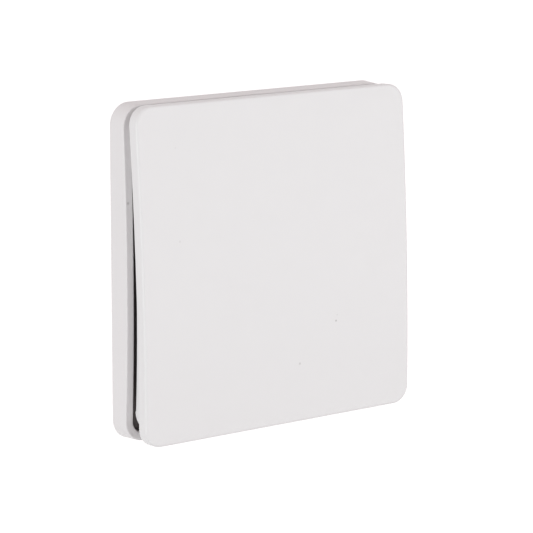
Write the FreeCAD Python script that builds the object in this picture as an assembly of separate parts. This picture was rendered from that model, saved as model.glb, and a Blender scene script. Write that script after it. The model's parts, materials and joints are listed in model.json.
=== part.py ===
import FreeCAD, Part
import math
import os

# Wireless wall switch with one large rocker, powered by its own push.
# Sizes are in millimetres. Each piece is drawn lying on its back: X to the right, Y up the wall
# and Z away from the wall. The last step stands it up, so that the front faces -Y and Z is up.

# Outer frame.
FRAME_SIDE = 86.0
FRAME_BACK_RADIUS = 5.5
FRAME_DRAFT = 0.3
RIM_WIDTH = 2.2
RIM_DEPTH_MIDDLE = 6.43
RIM_ARCH = 1.23
RIM_OUTER_RADIUS = 5.7
OPENING_RADIUS = 3.3
RIM_OUTER_ROUND = 0.3
RIM_INNER_ROUND = 0.3
FLOOR_T = 1.6
WALL_SCREW_INSET = 13.0
WALL_SCREW_HOLE_R = 2.1
WALL_SCREW_HEAD_R = 3.7
WALL_SCREW_SINK = 0.7
PAD_FIELD_SIDE_INSET = 15.0
PAD_FIELD_HEIGHT = 15.0
PAD_FIELD_DEPTH = 0.3
PAD_FIELD_INSET = 18.0
PAD_FIELD_RADIUS = 2.5

# Rocker plate.
PLATE_OVERHANG = 2.3
PLATE_RADIUS = 4.8
PLATE_RISE = 6.15
PLATE_SAG = 1.0
PLATE_EDGE = 3.0
PLATE_SKIN = 1.8
PLATE_EDGE_WALL = 1.7
PLATE_ROUND = 0.65
SKIRT_CLEARANCE = 0.25
SKIRT_T = 1.4
SKIRT_END_INSET = 4.3
SKIRT_MIDDLE_DROP = 3.55
SKIRT_TOP_DROP = 4.1
SKIRT_BOTTOM_DROP = 5.65
SKIRT_STEP = 0.3
SKIRT_END_RADIUS = 4.0
SEAT_RIB_T = 1.4
SEAT_RIB_INSET = 8.4
STIFFENER_T = 1.0
STIFFENER_DROP = 0.5
STIFFENER_END_INSET = 6.8
STIFFENER_STEPS = 4

# Rocking motion: half of the whole swing, with the top pushed in at rest.
TILT_DEG = 2.43

# Snap hooks of the plate and their slots in the carrier.
HOOK_BESIDE_STOP = 7.0
HOOK_EDGE_INSET = 4.0
HOOK_WIDTH = 4.0
HOOK_T = 1.2
HOOK_BARB = 0.8
HOOK_SLOT_CLEARANCE = 0.3
HOOK_BARB_HEIGHT = 0.7

# Carrier that the plate snaps onto.
CARRIER_RISE = 3.7
CARRIER_T = 1.5
CARRIER_SETBACK = 6.0
CARRIER_RADIUS = 3.0
CARRIER_BAR = 6.0
CARRIER_BAR_ABOVE_FORK = 0.6
CHEEK_T = 1.6
CHEEK_SKIRT_GAP = 0.55
CHEEK_RADIUS = 2.4

# Hinge between the carrier and the chassis.
HINGE_ABOVE_ROOF = 0.3
HINGE_SIDE_GAP = 0.3
PIN_R = 1.25
PIN_RUNNING_CLEARANCE = 0.05
PIN_PRESS_CLEARANCE = 0.02
PIN_END_GAP = 0.1
PIN_CHAMFER = 0.2
EAR_T = 2.0
EAR_RADIUS = 1.95
EAR_HALF_WIDTH = 3.0

# Chassis: a black cover over the inner room, with a flange on the frame's floor.
ROOM_HEIGHT = 4.4
ROOF_T = 1.2
CHASSIS_WALL = 1.2
CHASSIS_RADIUS = 3.0
CHASSIS_CLEARANCE = 0.3
CHASSIS_FLANGE_T = 1.3
CHASSIS_FLANGE_REACH = 4.45
WINDOW_SIDE_GAP = 1.3
WINDOW_END_GAP = 0.9
WINDOW_RADIUS = 1.5
TUNNEL_R = 4.2
TUNNEL_WALL = 1.2

# Screws that hold the chassis to the frame.
CHASSIS_SCREW_INSET_X = 4.0
CHASSIS_SCREW_INSET_Y = 4.0
CHASSIS_SCREW_R = 0.9
CHASSIS_SCREW_HEAD_R = 1.8
CHASSIS_SCREW_HEAD_H = 1.0
CHASSIS_SCREW_HEAD_SINK = 0.1
CHASSIS_BOSS_R = 2.2
CHASSIS_BOSS_H = 2.9
CHASSIS_COLUMN_R = 2.6
SCREW_CLEARANCE = 0.2
SCREW_THREAD_CLEARANCE = 0.02
CHASSIS_SCREW_TIP = 0.6
SCREW_POINT_R = 0.35
SCREW_HEAD_CHAMFER = 0.3
SCREW_RECESS_EDGE = 0.75
SCREW_RECESS_HALF_WIDTH = 0.23
SCREW_RECESS_DEPTH = 0.45

# Rubber stops on the chassis roof.
STOP_SIDE_INSET = 9.5
STOP_EDGE_INSET = 3.0
STOP_R = 1.6
STOP_STEM_R = 1.0
STOP_ROUND = 0.6
STOP_CLEARANCE = 0.03

# Generator: cradle, coil, magnet, pole plates and rocking core.
CRADLE_T = 0.8
CRADLE_EDGE = 0.6
CRADLE_PAST_BAR = 1.5
CRADLE_WALL_T = 1.6
CRADLE_WALL_GAP = 0.6
CRADLE_WALL_HALF_Y = 3.0
CRADLE_WALL_RADIUS = 2.2
PEG_R = 1.2
PEG_SIDE_INSET = 1.8
PEG_BOTTOM_INSET = 2.0
PEG_TOP_INSET = 3.0
PEG_HEIGHT = 1.3
PEG_CLEARANCE = 0.1
BOBBIN_FLANGE_HALF_Z = 3.2
BOBBIN_FLANGE_HALF_X = 8.4
BOBBIN_FLANGE_T = 0.8
BOBBIN_LENGTH = 20.0
BOBBIN_WALL = 0.6
CORE_T = 1.2
CORE_HALF_WIDTH = 3.0
CORE_SIDE_CLEARANCE = 0.3
CORE_SWING_CLEARANCE = 0.2
CORE_PIVOT_Y = 2.0
CORE_TIP_PAST_BOBBIN = 4.9
CORE_BAR_LENGTH = 2.9
CORE_BAR_GAP = 1.6
WINDING_STEP = 0.5
WINDING_RADIUS = 1.6
POLE_CLEARANCE = 0.06
POLE_T = 1.2
POLE_HALF_WIDTH = 6.0
POLE_REACH = 3.3
POLE_EAR_HALF_WIDTH = 11.2
MAGNET_GAP = 0.5
MAGNET_LENGTH = 3.6
MAGNET_HALF_WIDTH = 5.5
POLE_SCREW_X = 8.8
POLE_SCREW_R = 0.8
POLE_SCREW_HEAD_R = 1.5
POLE_SCREW_HEAD_H = 0.8
POLE_BOSS_R = 2.0

# Lever moulded round the core's back bar, and the fork that drives it.
LEVER_ARM_T = 2.4
LEVER_ARM_GAP = 0.6
LEVER_HALF_THICK = 1.3
LEVER_GRIP = 0.9
LEVER_BEAM_T = 2.7
TRUNNION_R = 1.0
DRIVE_PAST_BEAM = 1.8
DRIVE_TIP_R = 0.8
DRIVE_HALF_WIDTH = 3.0
FORK_HALF_WIDTH = 4.0
FORK_CLEARANCE = 0.12
FORK_JAW_T = 1.0
FORK_JAW_LENGTH = 2.7
FORK_BACK_T = 1.7

# Circuit board and what stands on it.
BOARD_LIFT = 1.0
BOARD_T = 1.0
BOARD_SIDE_INSET = 6.0
BOARD_WALL_GAP = 0.8
BOARD_STRIP_HEIGHT = 9.6
BOARD_ARM_GAP = 2.4
BOARD_ARM_WIDTH = 9.6
BOARD_ARM_TOP_INSET = 1.2
BOARD_TUNNEL_GAP = 0.4
BOARD_POST_R = 2.0
BOARD_SCREW_INSET = 3.2
BOARD_SCREW_R = 0.8
BOARD_SCREW_HEAD_R = 1.5
BOARD_SCREW_HEAD_H = 0.8
BOARD_SCREW_REACH = 1.7
BUTTON_INSET = 3.6
BUTTON_SIDE = 4.5
BUTTON_HEIGHT = 1.6
BUTTON_BORE_DEPTH = 1.0
BUTTON_CAP_R = 1.2
BUTTON_CAP_CLEARANCE = 0.1
BUTTON_CAP_SINK = 0.55
BUTTON_TIP_BELOW_ROOF = 0.3
BUTTON_HOLE_R = 1.7
LEAD_R = 0.18
LEAD_BEND = 0.5
ANTENNA_R = 0.35
ANTENNA_BEND = 1.5
ANTENNA_RISE = 1.4
LEAD_LOW_RISE = 0.6
LEAD_HIGH_RISE = 1.5
LEAD_INSET = 1.6
LEAD_PITCH = 1.4
ANTENNA_INSET = 7.0
ANTENNA_FOOT_DROP = 1.4
ANTENNA_WALL_GAP = 4.0

# Electronic parts: width, height on the board and rise from it, with their places on the board.
CAPACITOR_WIDTH = 4.3
CAPACITOR_HEIGHT = 3.6
CAPACITOR_RISE = 2.0
CAPACITOR_INSETS = (10.0, 14.8)
INDUCTOR_SIDE = 4.2
INDUCTOR_RISE = 1.8
INDUCTOR_FIELD_R = 1.5
INDUCTOR_FIELD_DEPTH = 0.1
INDUCTOR_INSET = 9.6
CHIP_SIDE = 5.0
CHIP_RISE = 0.9
CHIP_DIMPLE_R = 0.35
CHIP_DIMPLE_DEPTH = 0.1
CHIP_DIMPLE_INSET = 0.8
CHIP_INSET = 15.4
CRYSTAL_WIDTH = 3.2
CRYSTAL_HEIGHT = 2.5
CRYSTAL_RISE = 0.8
CRYSTAL_ROUND = 0.3
CRYSTAL_INSET = 20.4
REGULATOR_WIDTH = 3.0
REGULATOR_HEIGHT = 1.8
REGULATOR_RISE = 1.1
REGULATOR_DROP = 34.4
DIODE_WIDTH = 2.5
DIODE_HEIGHT = 1.3
DIODE_RISE = 1.0
DIODE_PITCH_X = 3.6
DIODE_PITCH_Y = 2.6
DIODE_DROP = 11.6
SMALL_WIDTH = 1.6
SMALL_HEIGHT = 0.8
SMALL_RISE = 0.6
SMALL_PITCH = 1.9
SMALL_ROW_INSET = 23.4
SMALL_ARM_DROP = 28.4
SMALL_ARM_RISE = 4.95

# Values that follow from the sizes above.
half_frame = FRAME_SIDE / 2.0
half_opening = half_frame - FRAME_DRAFT - RIM_WIDTH
half_plate = half_opening + PLATE_OVERHANG
room_top = FLOOR_T + ROOM_HEIGHT
roof_top = room_top + ROOF_T
hinge_z = roof_top + HINGE_ABOVE_ROOF
plate_apex = hinge_z + PLATE_RISE
plate_r = (half_plate ** 2 + PLATE_SAG ** 2) / (2.0 * PLATE_SAG)
plate_centre_z = plate_apex - plate_r
rim_r = (half_frame ** 2 + RIM_ARCH ** 2) / (2.0 * RIM_ARCH)
rim_centre_z = RIM_DEPTH_MIDDLE - rim_r
skirt_outer = half_opening - SKIRT_CLEARANCE
skirt_inner = skirt_outer - SKIRT_T
cheek_outer = skirt_inner - CHEEK_SKIRT_GAP
cheek_inner = cheek_outer - CHEEK_T
chassis_half_x = cheek_inner - HINGE_SIDE_GAP
chassis_half_y = half_opening - CHASSIS_CLEARANCE - CHASSIS_FLANGE_REACH
ear_inner = chassis_half_x - EAR_T
carrier_top = hinge_z + CARRIER_RISE
carrier_bottom = carrier_top - CARRIER_T
cradle_face = FLOOR_T + CRADLE_T
core_z = cradle_face + BOBBIN_FLANGE_HALF_Z
bobbin_bottom = CORE_PIVOT_Y - BOBBIN_LENGTH / 2.0
bobbin_top = CORE_PIVOT_Y + BOBBIN_LENGTH / 2.0
core_bar_top = bobbin_bottom - CORE_BAR_GAP
core_bar_bottom = core_bar_top - CORE_BAR_LENGTH
beam_bottom = core_bar_bottom - LEVER_BEAM_T
drive_y = beam_bottom - DRIVE_PAST_BEAM
drive_z = (hinge_z + core_z) / 2.0
drive_ratio = drive_y / (drive_y - CORE_PIVOT_Y)
core_tilt_deg = TILT_DEG * drive_ratio
core_swing = math.sin(math.radians(core_tilt_deg))
core_tip_y = bobbin_top + CORE_TIP_PAST_BOBBIN
pole_half_gap = CORE_T / 2.0 + (core_tip_y - CORE_PIVOT_Y) * core_swing + POLE_CLEARANCE
slot_half_z = CORE_T / 2.0 + BOBBIN_LENGTH / 2.0 * core_swing + CORE_SWING_CLEARANCE
slot_half_x = CORE_HALF_WIDTH + CORE_SIDE_CLEARANCE
lever_arm_inner = BOBBIN_FLANGE_HALF_X + LEVER_ARM_GAP
lever_arm_outer = lever_arm_inner + LEVER_ARM_T
cradle_wall_inner = lever_arm_outer + CRADLE_WALL_GAP
cradle_wall_outer = cradle_wall_inner + CRADLE_WALL_T
cradle_half_x = cradle_wall_outer + CRADLE_EDGE
cradle_bottom = core_bar_bottom - CRADLE_PAST_BAR
magnet_bottom = core_tip_y + MAGNET_GAP
magnet_top = magnet_bottom + MAGNET_LENGTH
cradle_top = magnet_top + CRADLE_EDGE
peg_x = cradle_half_x - PEG_SIDE_INSET
peg_rows = (cradle_bottom + PEG_BOTTOM_INSET, cradle_top - PEG_TOP_INSET)
pole_bottom = core_tip_y - POLE_REACH
pole_screw_y = (magnet_bottom + magnet_top) / 2.0
rear_pole_front = core_z - pole_half_gap
front_pole_back = core_z + pole_half_gap
board_bottom = FLOOR_T + BOARD_LIFT
board_face = board_bottom + BOARD_T
chassis_screw_x = chassis_half_x - CHASSIS_SCREW_INSET_X
chassis_screw_y = chassis_half_y - CHASSIS_SCREW_INSET_Y
chassis_boss_top = FLOOR_T + CHASSIS_BOSS_H
chassis_head_seat = roof_top - CHASSIS_SCREW_HEAD_SINK - CHASSIS_SCREW_HEAD_H
wall_screw_x = half_frame - WALL_SCREW_INSET
window_half_x = cradle_half_x + WINDOW_SIDE_GAP
window_half_y = cradle_top + WINDOW_END_GAP
carrier_half_y = chassis_half_y - CARRIER_SETBACK
stop_x = cheek_outer - STOP_SIDE_INSET
stop_y = carrier_half_y - STOP_EDGE_INSET
hook_x = stop_x - HOOK_BESIDE_STOP
hook_y = carrier_half_y - HOOK_EDGE_INSET
fork_mouth = drive_y + DRIVE_TIP_R + FORK_CLEARANCE
carrier_opening_x = hook_x - CARRIER_BAR
carrier_opening_top = carrier_half_y - CARRIER_BAR
carrier_opening_bottom = fork_mouth + CARRIER_BAR_ABOVE_FORK
room_half_x = chassis_half_x - CHASSIS_WALL
room_half_y = chassis_half_y - CHASSIS_WALL
board_half_x = room_half_x - BOARD_SIDE_INSET
strip_bottom = BOARD_WALL_GAP - room_half_y
strip_top = strip_bottom + BOARD_STRIP_HEIGHT
strip_middle = (strip_bottom + strip_top) / 2.0
arm_left = cradle_half_x + BOARD_ARM_GAP
arm_top = cradle_top - BOARD_ARM_TOP_INSET
arm_right = arm_left + BOARD_ARM_WIDTH
arm_middle = arm_left + BOARD_ARM_WIDTH / 2.0
button_x = board_half_x - BUTTON_INSET
BOARD_SCREW_AT = ((BOARD_SCREW_INSET - board_half_x, strip_middle),)
BOARD_SCREW_AT += ((arm_middle, arm_top - BOARD_SCREW_INSET),)
CORNERS = ((1, 1), (-1, 1), (-1, -1), (1, -1))
SIDES = (-1, 1)


def vec(x, y, z):
    return FreeCAD.Vector(x, y, z)


def box(x0, x1, y0, y1, z0, z1):
    """Block between two opposite corners."""
    return Part.makeBox(x1 - x0, y1 - y0, z1 - z0, vec(x0, y0, z0))


def post(x, y, radius, z0, z1):
    """Round post that stands away from the wall."""
    return Part.makeCylinder(radius, z1 - z0, vec(x, y, z0), vec(0, 0, 1))


def rod(y, z, radius, x0, x1):
    """Round rod that lies along X."""
    return Part.makeCylinder(radius, x1 - x0, vec(x0, y, z), vec(1, 0, 0))


def rounded_wire(half_x, half_y, radius, z):
    """Outline of a rectangle with round corners."""
    edges = []
    starts = []
    ends = []
    for index, (sx, sy) in enumerate(CORNERS):
        cx = sx * (half_x - radius)
        cy = sy * (half_y - radius)
        points = []
        for step in (0.0, 0.5, 1.0):
            angle = math.radians(90.0 * (index + step))
            points.append(vec(cx + radius * math.cos(angle), cy + radius * math.sin(angle), z))
        edges.append(Part.Arc(points[0], points[1], points[2]).toShape())
        starts.append(points[0])
        ends.append(points[2])
    wires = []
    for index in range(4):
        wires.append(edges[index])
        wires.append(Part.makeLine(ends[index], starts[(index + 1) % 4]))
    return Part.Wire(wires)


def rounded_prism(half_x, half_y, radius, z0, z1):
    """Block with round upright corners."""
    face = Part.Face(rounded_wire(half_x, half_y, radius, z0))
    return face.extrude(vec(0, 0, z1 - z0))


def outline_prism(points, z0, z1):
    """Block with a straight-sided outline."""
    closed = [vec(x, y, z0) for x, y in points]
    closed.append(closed[0])
    return Part.Face(Part.makePolygon(closed)).extrude(vec(0, 0, z1 - z0))


def arc_height(radius, centre_z, y):
    """Height of an arc about an axis along X."""
    return centre_z + math.sqrt(radius ** 2 - y ** 2)


def arc_edge(radius, centre_z, y0, y1, x):
    """Arc about an axis along X, between two Y values."""
    middle = (y0 + y1) / 2.0
    points = [vec(x, y, arc_height(radius, centre_z, y)) for y in (y0, middle, y1)]
    return Part.Arc(points[0], points[1], points[2]).toShape()


def arched_slab(radius, centre_z, half_y, half_x, z_low):
    """Block with a flat back and an arched front."""
    x = -half_x
    end_z = arc_height(radius, centre_z, half_y)
    sides = [arc_edge(radius, centre_z, -half_y, half_y, x)]
    sides.append(Part.makeLine(vec(x, half_y, end_z), vec(x, half_y, z_low)))
    sides.append(Part.makeLine(vec(x, half_y, z_low), vec(x, -half_y, z_low)))
    sides.append(Part.makeLine(vec(x, -half_y, z_low), vec(x, -half_y, end_z)))
    return Part.Face(Part.Wire(sides)).extrude(vec(2.0 * half_x, 0, 0))


def side_plate(edges, x0, x1):
    """Plate whose outline lies in a plane across X."""
    return Part.Face(Part.Wire(Part.__sortEdges__(edges))).extrude(vec(x1 - x0, 0, 0))


def screw(x, y, seat, radius, head_r, head_h, tip):
    """Pan-head screw with a cross recess."""
    top = seat + head_h
    points = [vec(0, 0, tip), vec(SCREW_POINT_R, 0, tip), vec(radius, 0, tip + radius)]
    points.append(vec(radius, 0, seat))
    points.append(vec(head_r, 0, seat))
    points.append(vec(head_r, 0, top - SCREW_HEAD_CHAMFER))
    points.append(vec(head_r - SCREW_HEAD_CHAMFER, 0, top))
    points.append(vec(0, 0, top))
    points.append(points[0])
    body = Part.Face(Part.makePolygon(points)).revolve(vec(0, 0, 0), vec(0, 0, 1), 360)
    slot_l = head_r - SCREW_RECESS_EDGE
    slot_t = SCREW_RECESS_HALF_WIDTH
    slot_z = top - SCREW_RECESS_DEPTH
    cross = box(-slot_l, slot_l, -slot_t, slot_t, slot_z, top + 1.0)
    cross = cross.fuse(box(-slot_t, slot_t, -slot_l, slot_l, slot_z, top + 1.0))
    body = body.cut(cross)
    body.translate(vec(x, y, 0))
    return body


def bent_wire(points, radius, bend):
    """Round wire through points, with square turns rounded."""
    edges = []
    start = points[0]
    for index in range(1, len(points) - 1):
        corner = points[index]
        into = (corner - points[index - 1]).normalize()
        out = (points[index + 1] - corner).normalize()
        first = corner - into * bend
        last = corner + out * bend
        middle = first + out * bend + (into - out) * (bend / math.sqrt(2.0))
        edges.append(Part.makeLine(start, first))
        edges.append(Part.Arc(first, middle, last).toShape())
        start = last
    edges.append(Part.makeLine(start, points[-1]))
    path = Part.Wire(edges)
    ring = Part.Wire([Part.makeCircle(radius, points[0], (points[1] - points[0]).normalize())])
    return path.makePipeShell([ring], True, False)


def edges_on_arc(shape, radius, centre_z, reach):
    """Edges whose two ends lie on an arched front."""
    found = []
    for edge in shape.Edges:
        ends = [vertex.Point for vertex in edge.Vertexes]
        off = [abs(math.hypot(p.y, p.z - centre_z) - radius) for p in ends]
        if max(off) < 0.02 and reach(edge):
            found.append(edge)
    return found


def wall_screw_places():
    """Centres of the two holes for the wall screws."""
    return [(side * wall_screw_x, 0.0) for side in SIDES]


def chassis_screw_places():
    """Centres of the screws near the chassis corners."""
    return [(sx * chassis_screw_x, sy * chassis_screw_y) for sx, sy in CORNERS]


def peg_places():
    """Centres of the pegs that hold the cradle."""
    return [(side * peg_x, y) for side in SIDES for y in peg_rows]


def frame_shell():
    """Tapered square block with the arched front and the opening."""
    back = rounded_wire(half_frame, half_frame, FRAME_BACK_RADIUS, 0.0)
    half_front = half_frame - FRAME_DRAFT
    front = rounded_wire(half_front, half_front, RIM_OUTER_RADIUS, RIM_DEPTH_MIDDLE)
    shell = Part.makeLoft([back, front], True, True)
    shell = shell.common(arched_slab(rim_r, rim_centre_z, FRAME_SIDE, FRAME_SIDE, -1.0))
    pocket = rounded_prism(half_opening, half_opening, OPENING_RADIUS, FLOOR_T, RIM_DEPTH_MIDDLE + 1.0)
    shell = shell.cut(pocket)
    middle = (half_front + half_opening) / 2.0

    def outside(edge):
        bounds = edge.BoundBox
        spans = (bounds.XMin, bounds.XMax, bounds.YMin, bounds.YMax)
        return max(abs(span) for span in spans) > middle

    def inside(edge):
        return not outside(edge)

    shell = shell.makeFillet(RIM_OUTER_ROUND, edges_on_arc(shell, rim_r, rim_centre_z, outside))
    return shell.makeFillet(RIM_INNER_ROUND, edges_on_arc(shell, rim_r, rim_centre_z, inside))


def frame_fixings():
    """Bosses, posts and pegs on the frame's floor."""
    parts = []
    for x, y in chassis_screw_places():
        parts.append(post(x, y, CHASSIS_BOSS_R, FLOOR_T, chassis_boss_top))
    for x, y in BOARD_SCREW_AT:
        parts.append(post(x, y, BOARD_POST_R, FLOOR_T, board_bottom))
    for x, y in peg_places():
        parts.append(post(x, y, PEG_R, FLOOR_T, FLOOR_T + PEG_HEIGHT))
    return parts


def frame():
    """Outer frame: floor, flanks and arched rim in one moulding."""
    shape = frame_shell().fuse(frame_fixings())
    cuts = []
    for x, y in wall_screw_places():
        cuts.append(post(x, y, WALL_SCREW_HOLE_R, -1.0, FLOOR_T + 1.0))
        cuts.append(post(x, y, WALL_SCREW_HEAD_R, FLOOR_T - WALL_SCREW_SINK, FLOOR_T + 1.0))
    for x, y in chassis_screw_places():
        bore = CHASSIS_SCREW_R + SCREW_THREAD_CLEARANCE
        cuts.append(post(x, y, bore, CHASSIS_SCREW_TIP + FLOOR_T / 2.0, chassis_boss_top + 1.0))
    for x, y in BOARD_SCREW_AT:
        bore = BOARD_SCREW_R + SCREW_THREAD_CLEARANCE
        cuts.append(post(x, y, bore, board_bottom - BOARD_SCREW_REACH, board_bottom + 1.0))
    half_l = half_frame - PAD_FIELD_SIDE_INSET
    half_h = PAD_FIELD_HEIGHT / 2.0
    for side in SIDES:
        field = rounded_prism(half_l, half_h, PAD_FIELD_RADIUS, -1.0, PAD_FIELD_DEPTH)
        field.translate(vec(0, side * (half_frame - PAD_FIELD_INSET), 0))
        cuts.append(field)
    return shape.cut(cuts)


def chassis_cover():
    """Low box, open at the back, with its flange."""
    outer = rounded_prism(chassis_half_x, chassis_half_y, CHASSIS_RADIUS, FLOOR_T, roof_top)
    flange_half = half_opening - CHASSIS_CLEARANCE
    flange_r = OPENING_RADIUS - CHASSIS_CLEARANCE
    outer = outer.fuse(rounded_prism(flange_half, flange_half, flange_r, FLOOR_T, FLOOR_T + CHASSIS_FLANGE_T))
    room_r = CHASSIS_RADIUS - CHASSIS_WALL
    room = rounded_prism(room_half_x, room_half_y, room_r, FLOOR_T - 1.0, room_top)
    return outer.cut(room)


def chassis_ear(side):
    """Ear on the chassis side wall that takes a hinge pin."""
    x0 = ear_inner if side > 0 else -chassis_half_x
    x1 = x0 + EAR_T
    low = box(x0, x1, -EAR_HALF_WIDTH, EAR_HALF_WIDTH, room_top, roof_top)
    neck = box(x0, x1, -EAR_RADIUS, EAR_RADIUS, roof_top, hinge_z)
    return low.fuse([neck, rod(0.0, hinge_z, EAR_RADIUS, x0, x1)])


def chassis():
    """Black inner cover with hinge ears and screw columns."""
    adds = [chassis_ear(side) for side in SIDES]
    for x, y in chassis_screw_places():
        adds.append(post(x, y, CHASSIS_COLUMN_R, chassis_boss_top, roof_top))
    for x, y in wall_screw_places():
        adds.append(post(x, y, TUNNEL_R + TUNNEL_WALL, FLOOR_T, roof_top))
    shape = chassis_cover().fuse(adds)
    cuts = [rounded_prism(window_half_x, window_half_y, WINDOW_RADIUS, room_top - 1.0, roof_top + 1.0)]
    for x, y in wall_screw_places():
        cuts.append(post(x, y, TUNNEL_R, FLOOR_T - 1.0, roof_top + 1.0))
    for x, y in chassis_screw_places():
        cuts.append(post(x, y, CHASSIS_SCREW_R + SCREW_CLEARANCE, FLOOR_T, roof_top + 1.0))
        cuts.append(post(x, y, CHASSIS_SCREW_HEAD_R + SCREW_CLEARANCE, chassis_head_seat, roof_top + 1.0))
    for sx, sy in CORNERS:
        cuts.append(post(sx * stop_x, sy * stop_y, STOP_STEM_R, room_top - 1.0, roof_top + 1.0))
    cuts.append(post(button_x, strip_middle, BUTTON_HOLE_R, room_top - 1.0, roof_top + 1.0))
    for side in SIDES:
        centre = side * (ear_inner + EAR_T / 2.0)
        cuts.append(rod(0.0, hinge_z, PIN_R + PIN_PRESS_CLEARANCE, centre - EAR_T, centre + EAR_T))
    return shape.cut(cuts)


def hinge_pins():
    """Two steel pins pressed into the chassis ears."""
    pins = []
    pin_end = cheek_outer - PIN_END_GAP
    pins.append(rod(0.0, hinge_z, PIN_R, ear_inner, pin_end))
    pins.append(rod(0.0, hinge_z, PIN_R, -pin_end, -ear_inner))
    chamfered = []
    for pin in pins:
        ends = [edge for edge in pin.Edges if isinstance(edge.Curve, Part.Circle)]
        chamfered.append(pin.makeChamfer(PIN_CHAMFER, ends))
    return Part.makeCompound(chamfered)


def chassis_screws():
    """Four screws through the chassis into the frame."""
    tip = CHASSIS_SCREW_TIP + FLOOR_T / 2.0 + SCREW_THREAD_CLEARANCE
    size = (CHASSIS_SCREW_R, CHASSIS_SCREW_HEAD_R, CHASSIS_SCREW_HEAD_H, tip)
    return Part.makeCompound([screw(x, y, chassis_head_seat, *size) for x, y in chassis_screw_places()])


def rubber_stops():
    """Four soft domes that the carrier comes to rest on."""
    tilt = math.radians(TILT_DEG)
    rest = hinge_z + (carrier_bottom - hinge_z) * math.cos(tilt) - (stop_y + STOP_R) * math.sin(tilt)
    top = rest - STOP_CLEARANCE
    stops = []
    for sx, sy in CORNERS:
        head = post(sx * stop_x, sy * stop_y, STOP_R, roof_top, top)
        rims = [edge for edge in head.Edges if edge.BoundBox.ZMin > top - 0.01]
        head = head.makeFillet(STOP_ROUND, rims)
        stops.append(head.fuse(post(sx * stop_x, sy * stop_y, STOP_STEM_R, room_top, roof_top)))
    return Part.makeCompound(stops)


def plate_slab():
    """Curved square plate with a rounded front edge and a hollow back."""
    outline = rounded_prism(half_plate, half_plate, PLATE_RADIUS, 0.0, plate_apex + 1.0)
    reach = FRAME_SIDE
    slab = outline.common(arched_slab(plate_r, plate_centre_z, reach, reach, 0.0))
    slab = slab.cut(arched_slab(plate_r - PLATE_EDGE, plate_centre_z, reach, reach, -FRAME_SIDE))
    slab = slab.makeFillet(PLATE_ROUND, edges_on_arc(slab, plate_r, plate_centre_z, lambda edge: True))
    half_pocket = half_plate - PLATE_EDGE_WALL
    pocket = rounded_prism(half_pocket, half_pocket, PLATE_RADIUS - PLATE_EDGE_WALL, 0.0, plate_apex)
    pocket = pocket.common(arched_slab(plate_r - PLATE_SKIN, plate_centre_z, reach, reach, -FRAME_SIDE))
    return slab.cut(pocket)


def skirt(side):
    """Side skirt with an arched rear edge, deeper at the bottom, and quarter-round ends."""
    x0 = skirt_inner if side > 0 else -skirt_outer
    rear = plate_apex - PLATE_EDGE
    end_y = half_plate - SKIRT_END_INSET
    shoulder_y = end_y - SKIRT_END_RADIUS
    middle_z = rear - SKIRT_MIDDLE_DROP
    top_z = plate_apex - PLATE_SKIN - PLATE_SAG / 2.0
    turn = SKIRT_END_RADIUS * math.sqrt(0.5)
    shoulder_z = {1: rear - SKIRT_TOP_DROP, -1: rear - SKIRT_BOTTOM_DROP}
    bottom = vec(x0, -shoulder_y, shoulder_z[-1])
    top = vec(x0, shoulder_y, shoulder_z[1])
    edges = [Part.Arc(bottom, vec(x0, 0, middle_z), top).toShape()]
    for way in SIDES:
        step_z = shoulder_z[way] - SKIRT_STEP
        end_z = step_z + SKIRT_END_RADIUS
        start = vec(x0, way * shoulder_y, step_z)
        middle = vec(x0, way * (shoulder_y + turn), end_z - turn)
        end = vec(x0, way * end_y, end_z)
        edges.append(Part.makeLine(vec(x0, way * shoulder_y, shoulder_z[way]), start))
        edges.append(Part.Arc(start, middle, end).toShape())
        edges.append(Part.makeLine(end, vec(x0, way * end_y, top_z)))
    edges.append(Part.makeLine(vec(x0, -end_y, top_z), vec(x0, end_y, top_z)))
    return side_plate(edges, x0, x0 + SKIRT_T)


def plate_ribs():
    """Seat ribs on the carrier and low stiffeners between them."""
    inner_r = plate_r - PLATE_SKIN / 2.0
    reach = half_plate - PLATE_EDGE_WALL
    roof = arched_slab(inner_r, plate_centre_z, FRAME_SIDE, FRAME_SIDE, carrier_top)
    ribs = []
    rib_x = cheek_outer - SEAT_RIB_INSET
    for side in SIDES:
        x = side * rib_x
        ribs.append(box(x - SEAT_RIB_T / 2.0, x + SEAT_RIB_T / 2.0, -hook_y, hook_y, carrier_top, plate_apex))
    low_z = plate_apex - PLATE_SKIN - STIFFENER_DROP
    pitch = (half_plate - STIFFENER_END_INSET) / STIFFENER_STEPS
    for index in range(-STIFFENER_STEPS, STIFFENER_STEPS + 1):
        y = index * pitch
        band = box(-reach, reach, y - STIFFENER_T / 2.0, y + STIFFENER_T / 2.0, low_z, plate_apex)
        drop = plate_r - PLATE_SKIN - STIFFENER_DROP
        band = band.cut(arched_slab(drop, plate_centre_z, FRAME_SIDE, FRAME_SIDE, -FRAME_SIDE))
        ribs.append(band)
    return [rib.common(arched_slab(inner_r, plate_centre_z, FRAME_SIDE, FRAME_SIDE, 0.0)) for rib in ribs]


def plate_hook(sx, sy):
    """Snap hook that holds the plate on the carrier."""
    x0 = sx * hook_x - HOOK_WIDTH / 2.0
    x1 = x0 + HOOK_WIDTH
    y0 = sy * hook_y - HOOK_T / 2.0
    y1 = y0 + HOOK_T
    tip = carrier_bottom - HOOK_BARB_HEIGHT
    stem = box(x0, x1, y0, y1, tip, plate_apex - PLATE_SKIN)
    edge = y1 if sy > 0 else y0
    points = [vec(x0, edge, tip), vec(x0, edge + sy * HOOK_BARB, carrier_bottom)]
    points.append(vec(x0, edge, carrier_bottom))
    points.append(points[0])
    barb = Part.Face(Part.makePolygon(points)).extrude(vec(HOOK_WIDTH, 0, 0))
    return stem.fuse(barb)


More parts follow.
